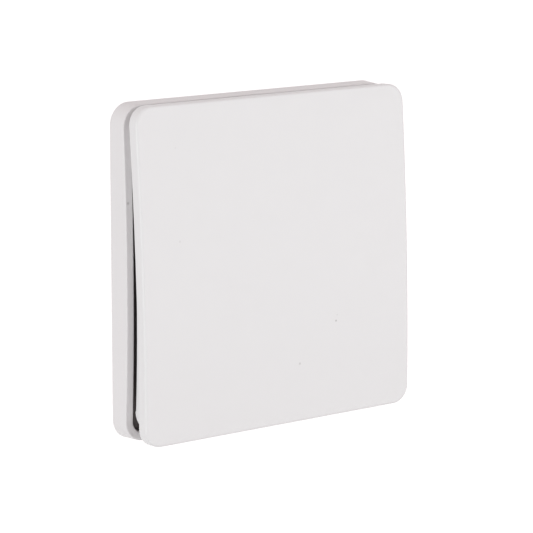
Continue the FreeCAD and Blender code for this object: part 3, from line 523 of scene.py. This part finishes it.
@dataclass(frozen=True)
class Palette:
    """All finishes of the switch."""

    plate: Finish = Finish("plate_white", (0.803, 0.792, 0.796), 0.42, grain_mm=0.25,
                           relief_mm=0.0006, colour_spread=0.006)
    frame: Finish = Finish("frame_white", (0.797, 0.776, 0.781), 0.46, grain_mm=0.30,
                           relief_mm=0.0008, colour_spread=0.008)
    chassis: Finish = Finish("chassis_black", (0.170, 0.156, 0.153), 0.55, grain_mm=0.22,
                             relief_mm=0.004)
    carrier: Finish = Finish("carrier_black", (0.052, 0.049, 0.048), 0.50, grain_mm=0.22,
                             relief_mm=0.004)
    rubber: Finish = Finish("stop_rubber", (0.05, 0.05, 0.05), 0.75, grain_mm=0.2, relief_mm=0.004)
    cradle: Finish = Finish("cradle_grey", (0.10, 0.10, 0.105), 0.5, grain_mm=0.2, relief_mm=0.003)
    nylon: Finish = Finish("natural_nylon", (0.72, 0.69, 0.60), 0.45, grain_mm=0.4)
    cap: Finish = Finish("button_black", (0.03, 0.03, 0.03), 0.5, grain_mm=0.2)
    steel: Finish = Finish("zinc_steel", (0.60, 0.60, 0.61), 0.32, 1.0, Grain.BRUSHED, 0.08, 0.001)
    iron: Finish = Finish("soft_iron", (0.48, 0.48, 0.49), 0.40, 1.0, Grain.BRUSHED, 0.10, 0.0015)
    nickel: Finish = Finish("nickel_plate", (0.66, 0.65, 0.62), 0.22, 1.0, grain_mm=0.5,
                            relief_mm=0.0008)
    lead: Finish = Finish("lead_copper", (0.62, 0.25, 0.10), 0.28, 0.9, grain_mm=0.1,
                          relief_mm=0.001, coat=0.5)
    wire: Finish = Finish("coil_wire", (0.62, 0.25, 0.10), 0.28, 0.9, grain_mm=0.1,
                          relief_mm=0.001, coat=0.5, colour_spread=0.10)
    bronze: Finish = Finish("antenna_wire", (0.70, 0.52, 0.24), 0.3, 1.0, Grain.BRUSHED, 0.1, 0.001)
    mask: Finish = Finish("solder_mask", (0.018, 0.13, 0.055), 0.35, 0.0, Grain.LAMINATE, 0.3,
                          0.006, colour_spread=0.35, coat=0.3)
    ink: Finish = Finish("board_ink", (0.78, 0.78, 0.74), 0.55, grain_mm=0.1)
    solder: Finish = Finish("solder_tin", (0.62, 0.62, 0.61), 0.34, 1.0, grain_mm=0.15,
                            relief_mm=0.004)
    tin: Finish = Finish("tinned_can", (0.68, 0.68, 0.66), 0.3, 1.0, Grain.BRUSHED, 0.1, 0.001)
    moulding: Finish = Finish("chip_moulding", (0.025, 0.025, 0.026), 0.6, grain_mm=0.08,
                              relief_mm=0.004)
    ferrite: Finish = Finish("ferrite", (0.07, 0.07, 0.075), 0.5, grain_mm=0.12, relief_mm=0.006)
    ceramic: Finish = Finish("tan_ceramic", (0.34, 0.22, 0.10), 0.5, grain_mm=0.15, relief_mm=0.003)


def at(x: float, up: float, out: float) -> Vector:
    """Place in the object's frame, in metres.

    Args:
        x: millimetres to the right.
        up: millimetres up the wall.
        out: millimetres away from the wall.

    Returns:
        The place.
    """
    return Vector((x, -out, up)) * MM


def towards(azimuth: float, elevation: float) -> Vector:
    """Direction from the object.

    Args:
        azimuth: degrees round the object, 0 straight on.
        elevation: degrees above the horizon.

    Returns:
        The direction, of length 1.
    """
    a, e = math.radians(azimuth), math.radians(elevation)
    return Vector((math.sin(a) * math.cos(e), -math.cos(a) * math.cos(e), math.sin(e)))


class Bench:
    """Models small pieces with Blender's mesh tools.

    Attributes:
        smooth_degrees: edges of turned pieces that are flatter than this are shaded smooth.
        nearly_mm: how far beyond a middle a point has to lie to count as on one side.
    """

    smooth_degrees: float = 35.0
    nearly_mm: float = 0.01

    def block(self, low: Vector, high: Vector, bevel_mm: float, segments: int = 2) -> bpy.types.Object:
        """Block between two corners with bevelled edges.

        Args:
            low: its lowest corner in metres.
            high: its highest corner in metres.
            bevel_mm: width of the bevel.
            segments: steps of the bevel.

        Returns:
            The block, with its origin at the object's origin.
        """
        bpy.ops.object.select_all(action="DESELECT")
        bpy.ops.mesh.primitive_cube_add(size=1.0, location=(low + high) / 2.0, scale=high - low)
        piece = self._settle()
        with self._editing(piece):
            bpy.ops.mesh.bevel(offset=bevel_mm * MM, segments=segments, affect="EDGES")
        return piece

    def turned(self, profile: Sequence[Spot], sides: int = 24) -> bpy.types.Object:
        """Round form at the object's origin that stands away from the wall.

        Args:
            profile: radius and height of each step, in millimetres, from the foot up.
            sides: faces round it.

        Returns:
            The closed piece.
        """
        radius, height = profile[0]
        bpy.ops.object.select_all(action="DESELECT")
        bpy.ops.mesh.primitive_circle_add(vertices=sides, radius=radius * MM, fill_type="NGON",
                                          location=at(0.0, 0.0, height), rotation=FACING_FRONT)
        piece = self._settle()
        with self._editing(piece):
            for next_radius, next_height in profile[1:]:
                rise = at(0.0, 0.0, next_height - height)
                share = next_radius / radius
                bpy.ops.mesh.extrude_region_move(TRANSFORM_OT_translate={"value": rise})
                bpy.ops.transform.resize(value=(share, 1.0, share), center_override=ORIGIN)
                radius, height = next_radius, next_height
            self._turn_outwards()
        bpy.ops.object.shade_smooth_by_angle(angle=math.radians(self.smooth_degrees))
        return piece

    def wire_turn(self, half_x: float, half_out: float, corner: float, wire: float,
                  centre: Vector) -> bpy.types.Object:
        """One turn of wire round a flat core, level in the object's frame.

        Args:
            half_x: half its outer width in millimetres.
            half_out: half its outer depth in millimetres.
            corner: outer corner radius in millimetres.
            wire: wire radius in millimetres.
            centre: its centre in metres.

        Returns:
            The turn.
        """
        bpy.ops.object.select_all(action="DESELECT")
        bpy.ops.mesh.primitive_torus_add(major_segments=32, minor_segments=8, location=centre,
                                         major_radius=(corner - wire) * MM, minor_radius=wire * MM)
        piece = self._settle()
        # The ring is pulled apart into four corners, first across and then in depth.
        for axis, spread in ((0, half_x - corner), (1, half_out - corner)):
            for side in (-1.0, 1.0):
                way = Vector(ORIGIN)
                way[axis] = side * spread * MM
                self._select(piece, lambda place: side * (place[axis] - centre[axis]) > self.nearly_mm * MM)
                bpy.ops.object.mode_set(mode="EDIT")
                bpy.ops.transform.translate(value=way)
                bpy.ops.object.mode_set(mode="OBJECT")
        return piece

    def outline(self, width: float, height: float, line: float, rise: float) -> bpy.types.Object:
        """Rectangular outline round the object's origin, as printed on a board.

        Args:
            width: its outer width in millimetres.
            height: its outer height.
            line: width of its line.
            rise: thickness of its ink.

        Returns:
            The outline, thin but solid.
        """
        bpy.ops.object.select_all(action="DESELECT")
        bpy.ops.mesh.primitive_plane_add(size=width * MM, location=ORIGIN, rotation=FACING_FRONT)
        piece = self._settle()
        with self._editing(piece):
            bpy.ops.transform.resize(value=(1.0, 1.0, height / width), center_override=ORIGIN)
            bpy.ops.mesh.inset(thickness=line * MM, depth=0.0)
            bpy.ops.mesh.delete(type="FACE")
            bpy.ops.mesh.select_all(action="SELECT")
            bpy.ops.mesh.extrude_region_move(TRANSFORM_OT_translate={"value": at(0.0, 0.0, rise)})
            self._turn_outwards()
        return piece

    def row(self, piece: bpy.types.Object, count: int, step: Vector) -> bpy.types.Object:
        """Repeat a piece in a straight row.

        Args:
            piece: the piece to repeat.
            count: how many there are in all.
            step: way from one to the next, in metres.

        Returns:
            The same object with all its copies.
        """
        bpy.context.view_layer.objects.active = piece
        copies = piece.modifiers.new("row", "ARRAY")
        copies.count = count
        copies.use_relative_offset = False
        copies.use_constant_offset = True
        copies.constant_offset_displace = step
        bpy.ops.object.modifier_apply(modifier=copies.name)
        return piece

    def copies(self, piece: bpy.types.Object, places: Sequence[Vector]) -> List[bpy.types.Object]:
        """Put a piece that stands at the object's origin at several places.

        Args:
            piece: the piece.
            places: where the piece and its copies go, in metres.

        Returns:
            The piece and its copies, each with its own mesh.
        """
        made = [piece]
        for _ in places[1:]:
            self._pick(piece)
            bpy.ops.object.duplicate()
            made.append(bpy.context.object)
        for one, place in zip(made, places):
            self._pick(one)
            bpy.ops.transform.translate(value=place)
            self._settle()
        return made

    def finish(self, name: str, pieces: List[bpy.types.Object], material: bpy.types.Material, body: Body,
               slot: str) -> bpy.types.Object:
        """Join pieces into one, and give it its material and body.

        Args:
            name: name of the joined piece.
            pieces: the objects to join.
            material: its material.
            body: the body it moves with.
            slot: not used.

        Returns:
            The joined piece.
        """
        self._pick(*pieces)
        if len(pieces) > 1:
            bpy.ops.object.join()
        whole = bpy.context.view_layer.objects.active
        whole.name = name
        whole.data.name = name
        whole.data.materials.clear()
        whole.data.materials.append(material)
        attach(whole, body.value)
        LOG.info("built %s, %d faces", name, len(whole.data.polygons))
        return whole

    def _pick(self, *pieces: bpy.types.Object) -> None:
        """Select some pieces and no others.

        Args:
            *pieces: the pieces; the first becomes the active one.
        """
        bpy.ops.object.select_all(action="DESELECT")
        for piece in pieces:
            piece.select_set(True)
        bpy.context.view_layer.objects.active = pieces[0]

    def _settle(self) -> bpy.types.Object:
        """Put the active object's place, turn and size into its mesh, and return it."""
        bpy.ops.object.transform_apply(location=True, rotation=True, scale=True)
        return bpy.context.object

    @contextmanager
    def _editing(self, piece: bpy.types.Object) -> Iterator[None]:
        """Edit mode on one piece with all of it selected, and object mode again afterwards.

        Args:
            piece: the piece to edit.

        Yields:
            Nothing, in edit mode.
        """
        bpy.context.view_layer.objects.active = piece
        bpy.ops.object.mode_set(mode="EDIT")
        bpy.ops.mesh.select_all(action="SELECT")
        yield
        bpy.ops.object.mode_set(mode="OBJECT")

    def _select(self, piece: bpy.types.Object, wanted: Callable[[Vector], bool]) -> None:
        """Select the vertices whose place is wanted, and no others.

        Args:
            piece: the piece, in object mode.
            wanted: tells from a vertex's place whether it is selected.
        """
        for face in piece.data.polygons:
            face.select = False
        for edge in piece.data.edges:
            edge.select = False
        for vertex in piece.data.vertices:
            vertex.select = wanted(vertex.co)

    def _turn_outwards(self) -> None:
        """Make all faces of the piece in edit mode point outwards."""
        bpy.ops.mesh.select_all(action="SELECT")
        bpy.ops.mesh.normals_make_consistent(inside=False)


@dataclass
class Assembly(ABC):
    """Group of the switch's pieces.

    Attributes:
        palette: the switch's finishes.
        maker: makes the finishes' materials.
    """

    palette: Palette
    maker: FinishMaker

    @abstractmethod
    def build(self, frame: dict) -> None:
        """Dress the group's CAD nodes and add its new pieces.
        """

    def dress(self, frame: dict, node: str, material: bpy.types.Material) -> None:
        """Give a CAD node its material.

        Args:
            node: the node's name.
            material: the new material.
        """
        obj = frame["nodes"][node]
        if obj.material_slots:
            for slot in obj.material_slots:
                slot.material = material
        else:
            obj.data.materials.append(material)
        LOG.info("dressed %s with %s", node, material.name)

    def dress_all(self, frame: dict, finishes: Dict[str, Finish]) -> None:
        """Give several CAD nodes their plain finishes.

        Args:
            finishes: the finish of each node.
        """
        for node, finish in finishes.items():
            self.dress(frame, node, self.maker.make(finish))


@dataclass
class FrameAssembly(Assembly):
    """White frame, the black chassis in it and their small parts.

    Attributes:
        rim_mark: faint mark on the rim.
        ejector_marks: rings on the back.
    """

    rim_mark: Speck = Speck((-41.95, -6.2, 18.6), 0.55, 0.40)
    ejector_marks: Tuple[Ring, ...] = (
        Ring((-14.0, 0.0, 0.0)), Ring((14.0, 0.0, 0.0)), Ring((0.0, 0.0, 37.0)), Ring((0.0, 0.0, -37.0)),
        Ring((-37.0, 0.0, 33.0), 1.6), Ring((37.0, 0.0, 33.0), 1.6),
        Ring((-37.0, 0.0, -33.0), 1.6), Ring((37.0, 0.0, -33.0), 1.6))

    def build(self, frame: dict) -> None:
        """Dress the frame, the chassis and their small parts.
        """
        white = self.maker.make(self.palette.frame, (self.rim_mark,), self.ejector_marks)
        self.dress(frame, "frame", white)
        self.dress_all(frame, {
            "chassis": self.palette.chassis,
            "chassis_screws": self.palette.steel,
            "hinge_pins": self.palette.steel,
            "rubber_stops": self.palette.rubber,
        })


@dataclass
class RockerAssembly(Assembly):
    """White plate and its black carrier.

    Attributes:
        dust: grains of dust that lie on the plate.
    """

    dust: Tuple[Speck, ...] = (
        Speck((17.95, -14.22, -17.35), 0.38, 0.62), Speck((18.34, -14.19, -15.82), 0.28, 0.20),
        Speck((5.85, -14.40, -27.15), 0.44, 0.36), Speck((-31.28, -13.24, 8.84), 0.42, 0.16),
        Speck((-31.42, -11.73, 32.16), 0.36, 0.10))

    def build(self, frame: dict) -> None:
        """Dress plate and carrier.
        """
        self.dress(frame, "rocker_plate", self.maker.make(self.palette.plate, self.dust))
        self.dress_all(frame, {"rocker_carrier": self.palette.carrier})


@dataclass
class GeneratorAssembly(Assembly):
    """Coil, magnet, poles and rocking core.

    The coil's turns stand for the CAD's plain winding and fill its space.

    Attributes:
        coil_low: lower end of the winding, up the wall.
        coil_high: its upper end.
        coil_out: its middle, away from the wall.
        coil_half_x: half its width.
        coil_half_out: half its depth.
        coil_corner: its corner radius.
        coil_turns: number of turns.
        coil_smooth_degrees: edges flatter than this are shaded smooth.
        filling_drop: how far the filling lies under the wire's outside.
    """

    coil_low: float = -7.2
    coil_high: float = 11.2
    coil_out: float = 5.6
    coil_half_x: float = 7.4
    coil_half_out: float = 2.7
    coil_corner: float = 1.6
    coil_turns: int = 42
    coil_smooth_degrees: float = 50.0
    filling_drop: float = 0.25

    def build(self, frame: dict) -> None:
        """Dress the generator and wind its coil.
        """
        self.dress_all(frame, {
            "generator_cradle": self.palette.cradle,
            "coil_bobbin": self.palette.nylon,
            "coil_winding": self.palette.wire,
            "coil_leads": self.palette.lead,
            "core": self.palette.iron,
            "core_lever": self.palette.nylon,
            "rear_pole": self.palette.iron,
            "front_pole": self.palette.iron,
            "pole_screws": self.palette.steel,
            "magnet": self.palette.nickel,
        })
        self._wind(Bench())

    def _wind(self, bench: Bench) -> None:
        """Model the turns of wire and the filling under them.

        Args:
            bench: the modelling helper.
        """
        pitch = (self.coil_high - self.coil_low) / self.coil_turns
        wire = pitch / 2.0
        first = at(0.0, self.coil_low + wire, self.coil_out)
        turns = bench.wire_turn(self.coil_half_x, self.coil_half_out, self.coil_corner, wire, first)
        bench.row(turns, self.coil_turns, at(0.0, pitch, 0.0))
        half_x = self.coil_half_x - self.filling_drop
        half_out = self.coil_half_out - self.filling_drop
        low = at(-half_x, self.coil_low, self.coil_out + half_out)
        high = at(half_x, self.coil_high, self.coil_out - half_out)
        filling = bench.block(low, high, self.coil_corner - self.filling_drop, segments=4)
        coil = bench.finish("coil_turns", [turns, filling], self.maker.make(self.palette.wire),
                            Body.BASE, "coil_winding")
        bpy.ops.object.shade_smooth_by_angle(angle=math.radians(self.coil_smooth_degrees))
        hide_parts("coil_winding")


@dataclass(frozen=True)
class BoardPart:
    """One kind of part on the board.

    Attributes:
        width: width in millimetres.
        height: height up the wall.
        rise: rise from the board.
        centres: centre of each such part, to the right and up the wall.
    """

    width: float
    height: float
    rise: float
    centres: Tuple[Spot, ...]


@dataclass(frozen=True)
class MetalEnd:
    """Metal end or lead on each of a part's two sides.

    Attributes:
        length: how far it reaches over the part.
        proud: how far it stands out.
        height: its height up the wall.
        rise: its rise from the board.
    """

    length: float
    proud: float
    height: float
    rise: float


@dataclass
class SenderAssembly(Assembly):
    """Circuit board, its parts and the pairing button.

    The board's face, the parts' sizes and centres and the wires' ends are those of the CAD, which the
    added metal ends, legs, solder and print have to meet. The cones give radius and height.
    """

    face: float = 3.6
    small: BoardPart = BoardPart(1.6, 0.8, 0.6, (
        (5.8, -30.85), (5.8, -28.95), (5.8, -27.05), (3.9, -30.85), (3.9, -28.95), (3.9, -27.05),
        (19.5, -8.0), (23.3, -8.0), (19.5, -19.2), (23.3, -19.2)))
    capacitor: BoardPart = BoardPart(4.3, 3.6, 2.0, ((-19.2, -28.95), (-14.4, -28.95)))
    diode: BoardPart = BoardPart(2.5, 1.3, 1.0, ((19.6, 8.8), (19.6, 6.2), (23.2, 8.8), (23.2, 6.2)))
    regulator: BoardPart = BoardPart(3.0, 1.8, 1.1, ((21.4, -14.0),))
    inductor: BoardPart = BoardPart(4.2, 4.2, 1.8, ((19.6, -28.95),))
    chip: BoardPart = BoardPart(5.0, 5.0, 0.9, ((13.8, -28.95),))
    crystal: BoardPart = BoardPart(3.2, 2.5, 0.8, ((8.8, -28.95),))
    small_end: MetalEnd = MetalEnd(0.32, 0.02, 0.84, 0.62)
    capacitor_end: MetalEnd = MetalEnd(0.55, 0.02, 3.64, 2.02)
    diode_end: MetalEnd = MetalEnd(0.2, 0.08, 0.9, 0.5)
    inductor_end: MetalEnd = MetalEnd(0.5, 0.06, 2.6, 0.6)
    lead_ends: Tuple[Spot, ...] = ((18.2, 11.6), (19.6, 11.6))
    lead_cone: Tuple[Spot, ...] = (
        (0.62, 0.0), (0.56, 0.10), (0.40, 0.22), (0.27, 0.38), (0.20, 0.55), (0.10, 0.58))
    antenna_foot: Tuple[Spot, ...] = ((-22.2, -25.55),)
    foot_cone: Tuple[Spot, ...] = (
        (1.05, 0.0), (0.96, 0.14), (0.70, 0.32), (0.50, 0.55), (0.38, 0.80), (0.20, 0.84))
    leg_width: float = 0.4
    leg_pitch: float = 0.95
    leg_reach: float = 0.45
    leg_count: int = 3
    pads_per_side: int = 8
    pad_pitch: float = 0.5
    pad_width: float = 0.24
    pad_length: float = 0.36
    pad_rise: float = 0.06
    ink_line: float = 0.12
    ink_rise: float = 0.03
    capacitor_ink_gap: float = 0.2
    can_ink_gap: float = 0.35
    chip_ink_gap: float = 0.45
    regulator_ink_gap: float = 0.55

    def build(self, frame: dict) -> None:
        """Dress the sender and add metal ends, solder and board print.
        """
        self.dress_all(frame, {
            "circuit_board": self.palette.mask,
            "board_screws": self.palette.steel,
            "radio_chip": self.palette.moulding,
            "crystal": self.palette.tin,
            "storage_capacitors": self.palette.ceramic,
            "inductor": self.palette.ferrite,
            "regulator": self.palette.moulding,
            "rectifier_diodes": self.palette.moulding,
            "chip_parts": self.palette.ceramic,
            "antenna": self.palette.bronze,
            "button_case": self.palette.tin,
            "button_cap": self.palette.cap,
        })
        bench = Bench()
        tin = self.maker.make(self.palette.solder)
        ink = self.maker.make(self.palette.ink)
        bench.finish("solder_joints", self._solder(bench), tin, Body.BASE, "crystal")
        bench.finish("part_terminals", self._terminals(bench), tin, Body.BASE, "crystal")
        bench.finish("regulator_legs", self._legs(bench), tin, Body.BASE, "crystal")
        bench.finish("chip_pads", self._chip_pads(bench), tin, Body.BASE, "crystal")
        bench.finish("board_print", self._print(bench), ink, Body.BASE, "circuit_board")

    def _on_board(self, centres: Sequence[Spot]) -> List[Vector]:
        """Places on the board's face, in metres."""
        return [at(x, up, self.face) for x, up in centres]

    def _solder(self, bench: Bench) -> List[bpy.types.Object]:
        """Model the solder cones at the coil's leads and the antenna's foot.

        Args:
            bench: the modelling helper.

        Returns:
            All the cones.
        """
        made: List[bpy.types.Object] = []
        for cone, centres in ((self.lead_cone, self.lead_ends), (self.foot_cone, self.antenna_foot)):
            made += bench.copies(bench.turned(cone), self._on_board(centres))
        return made

    def _terminals(self, bench: Bench) -> List[bpy.types.Object]:
        """Model the metal ends of the parts that have two of them.

        Args:
            bench: the modelling helper.

        Returns:
            All the ends.
        """
        made: List[bpy.types.Object] = []
        for part, end in ((self.small, self.small_end), (self.capacitor, self.capacitor_end),
                          (self.diode, self.diode_end), (self.inductor, self.inductor_end)):
            outer = part.width / 2.0 + end.proud
            inner = part.width / 2.0 - end.length
            left = bench.block(at(-outer, -end.height / 2.0, end.rise), at(-inner, end.height / 2.0, 0.0),
                               2.0 * end.proud)
            pair = bench.row(left, 2, at(outer + inner, 0.0, 0.0))
            made += bench.copies(pair, self._on_board(part.centres))
        return made

    def _legs(self, bench: Bench) -> List[bpy.types.Object]:
        """Model the legs below the regulator.

        Args:
            bench: the modelling helper.

        Returns:
            The legs.
        """
        bottom = -self.regulator.height / 2.0
        left = -self.leg_pitch * (self.leg_count - 1) / 2.0 - self.leg_width / 2.0
        low = at(left, bottom - self.leg_reach, self.regulator.rise / 3.0)
        high = at(left + self.leg_width, bottom + self.leg_width / 4.0, 0.0)
        leg = bench.block(low, high, self.leg_width / 8.0)
        legs = bench.row(leg, self.leg_count, at(self.leg_pitch, 0.0, 0.0))
        return bench.copies(legs, self._on_board(self.regulator.centres))

    def _chip_pads(self, bench: Bench) -> List[bpy.types.Object]:
        """Model the pads that show round the foot of the radio chip.

        Args:
            bench: the modelling helper.

        Returns:
            The four rows of pads.
        """
        first = -self.pad_pitch * (self.pads_per_side - 1) / 2.0
        edge = self.chip.width / 2.0 + self.pad_length / 4.0
        half_w, half_l = self.pad_width / 2.0, self.pad_length / 2.0
        x, up = self.chip.centres[0]
        pads: List[bpy.types.Object] = []
        for half_x, half_up, step, starts in (
                (half_w, half_l, at(self.pad_pitch, 0.0, 0.0), ((first, -edge), (first, edge))),
                (half_l, half_w, at(0.0, self.pad_pitch, 0.0), ((-edge, first), (edge, first)))):
            low, high = at(-half_x, -half_up, self.pad_rise), at(half_x, half_up, 0.0)
            row = bench.row(bench.block(low, high, self.pad_rise / 3.0), self.pads_per_side, step)
            pads += bench.copies(row, self._on_board([(x + right, up + above) for right, above in starts]))
        return pads

    def _print(self, bench: Bench) -> List[bpy.types.Object]:
        """Model the white outlines round the larger parts.

        Args:
            bench: the modelling helper.

        Returns:
            The outlines.
        """
        lines: List[bpy.types.Object] = []
        for part, gap in ((self.capacitor, self.capacitor_ink_gap), (self.inductor, self.can_ink_gap),
                          (self.crystal, self.can_ink_gap), (self.chip, self.chip_ink_gap),
                          (self.regulator, self.regulator_ink_gap)):
            width, height = part.width + 2.0 * gap, part.height + 2.0 * gap
            outline = bench.outline(width, height, self.ink_line, self.ink_rise)
            lines += bench.copies(outline, self._on_board(part.centres))
        return lines


@dataclass(frozen=True)
class PhotoCamera:
    """Camera fitted to the photograph.

    Attributes:
        image_px: side of the photograph.
        focal_px: focal length in pixels of the photograph.
        azimuth: degrees round the object, 0 straight on.
        elevation: degrees above the horizon.
        roll: degrees about the line of sight.
        distance_mm: distance along the line of sight.
        side_mm: sideways offset of the object in the view.
        up_mm: upward offset of the object in the view.
        sensor_mm: width of the sensor.
        near_m: nearest distance drawn.
        far_m: furthest distance drawn.
    """

    image_px: float = 533.0
    focal_px: float = 2614.2
    azimuth: float = -37.450
    elevation: float = 10.814
    roll: float = 0.067
    distance_mm: float = 679.9
    side_mm: float = -4.706
    up_mm: float = 3.000
    sensor_mm: float = 36.0
    near_m: float = 0.05
    far_m: float = 50.0

    def build(self) -> None:
        """Make the scene's camera."""
        back = towards(self.azimuth, self.elevation)
        turn, roll = math.radians(self.azimuth), math.radians(self.roll)
        level = Vector((math.cos(turn), math.sin(turn), 0.0))
        upright = back.cross(level)
        right = level * math.cos(roll) + upright * math.sin(roll)
        up = upright * math.cos(roll) - level * math.sin(roll)
        data = bpy.data.cameras.new("photo_camera")
        data.sensor_width = self.sensor_mm
        data.lens = self.focal_px * self.sensor_mm / self.image_px
        data.clip_start, data.clip_end = self.near_m, self.far_m
        camera = bpy.data.objects.new("photo_camera", data)
        place = (back * self.distance_mm - right * self.side_mm - up * self.up_mm) * MM
        axes = Matrix((right, up, back)).transposed().to_4x4()
        camera.matrix_world = Matrix.Translation(place) @ axes
        bpy.context.scene.collection.objects.link(camera)
        bpy.context.scene.camera = camera
        LOG.info("camera %.1f mm", data.lens)


@dataclass(frozen=True)
class Lamp:
    """One soft square lamp that faces the object.

    Attributes:
        name: the lamp's name.
        azimuth: degrees round the object, 0 straight on.
        elevation: degrees above the horizon.
        watts: power.
        colour: its colour.
        distance_m: distance from the object.
        side_m: its side.
    """

    name: str
    azimuth: float
    elevation: float
    watts: float
    colour: Colour
    distance_m: float = 1.6
    side_m: float = 0.9

    def build(self) -> None:
        """Place the lamp."""
        data = bpy.data.lights.new(self.name, "AREA")
        data.shape = "SQUARE"
        data.size = self.side_m
        data.energy = self.watts
        data.color = self.colour
        lamp = bpy.data.objects.new(self.name, data)
        back = towards(self.azimuth, self.elevation)
        lamp.location = back * self.distance_m
        lamp.rotation_mode = "QUATERNION"
        lamp.rotation_quaternion = (-back).to_track_quat("-Z", "Y")
        bpy.context.scene.collection.objects.link(lamp)


@dataclass(frozen=True)
class Studio:
    """Plain pale floor, even sky and soft lamps.

    Attributes:
        sky: light of the sky on the object.
        floor_drop_m: how far the floor lies below the object's middle.
        floor_side_m: the floor's side.
        floor_colour: the floor's colour.
        floor_lift: brightness added to the floor where it is seen, so that it looks white.
        lamps: the lamps.
    """

    sky: Colour = (0.670, 0.618, 0.620)
    floor_drop_m: float = 0.70
    floor_side_m: float = 16.0
    floor_colour: Colour = (0.62, 0.61, 0.61)
    floor_lift: float = 0.75
    lamps: Tuple[Lamp, ...] = (
        Lamp("front_lamp", 36.0, 1.0, 7.6, (0.93, 1.0, 1.0)),
        Lamp("side_lamp", -70.0, -2.0, 10.1, (0.90, 1.0, 1.0)),
        Lamp("back_lamp", 165.0, -8.0, 8.0, (0.91, 1.0, 1.0)),
    )

    def build(self) -> None:
        """Make sky, floor and lamps."""
        bpy.context.scene.view_settings.view_transform = "Standard"
        self._sky()
        self._floor()
        for lamp in self.lamps:
            lamp.build()
        LOG.info("studio with %d lamps", len(self.lamps))

    def _sky(self) -> None:
        """Make an even sky that the camera and reflections see as white."""
        world = bpy.data.worlds.new("studio_sky")
        nodes = NodeTree(world)
        light = nodes.add("ShaderNodeBackground")
        light.inputs["Color"].default_value = (*self.sky, 1.0)
        white = nodes.add("ShaderNodeBackground")
        white.inputs["Color"].default_value = (*WHITE, 1.0)
        mix = nodes.add("ShaderNodeMixShader")
        nodes.link(nodes.seen(), mix.inputs[0])
        nodes.link(light.outputs[0], mix.inputs[1])
        nodes.link(white.outputs[0], mix.inputs[2])
        output = nodes.add("ShaderNodeOutputWorld")
        nodes.link(mix.outputs[0], output.inputs["Surface"])
        bpy.context.scene.world = world

    def _floor(self) -> None:
        """Make a pale floor below the switch; it keeps the switch's shadow."""
        bpy.ops.object.select_all(action="DESELECT")
        bpy.ops.mesh.primitive_plane_add(size=self.floor_side_m, location=(0.0, 0.0, -self.floor_drop_m))
        bpy.ops.object.transform_apply(location=True, rotation=True, scale=True)
        floor = bpy.context.object
        floor.name = "studio_floor"
        material = bpy.data.materials.new("studio_floor")
        nodes = NodeTree(material)
        matt = nodes.add("ShaderNodeBsdfDiffuse")
        matt.inputs["Color"].default_value = (*self.floor_colour, 1.0)
        lift = nodes.add("ShaderNodeEmission")
        nodes.link(nodes.math("MULTIPLY", nodes.seen(), self.floor_lift), lift.inputs["Strength"])
        both = nodes.add("ShaderNodeAddShader")
        nodes.link(matt.outputs[0], both.inputs[0])
        nodes.link(lift.outputs[0], both.inputs[1])
        output = nodes.add("ShaderNodeOutputMaterial")
        nodes.link(both.outputs[0], output.inputs["Surface"])
        floor.data.materials.append(material)


def main() -> None:
    """Load the frame, dress it and set up the studio."""
    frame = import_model()
    palette, maker = Palette(), FinishMaker()
    PhotoCamera().build()
    assemblies: Tuple[Type[Assembly], ...] = (
        FrameAssembly, RockerAssembly, GeneratorAssembly, SenderAssembly)
    for assembly in assemblies:
        assembly(palette, maker).build(frame)
    Studio().build()


if __name__ == "__main__":
    main()
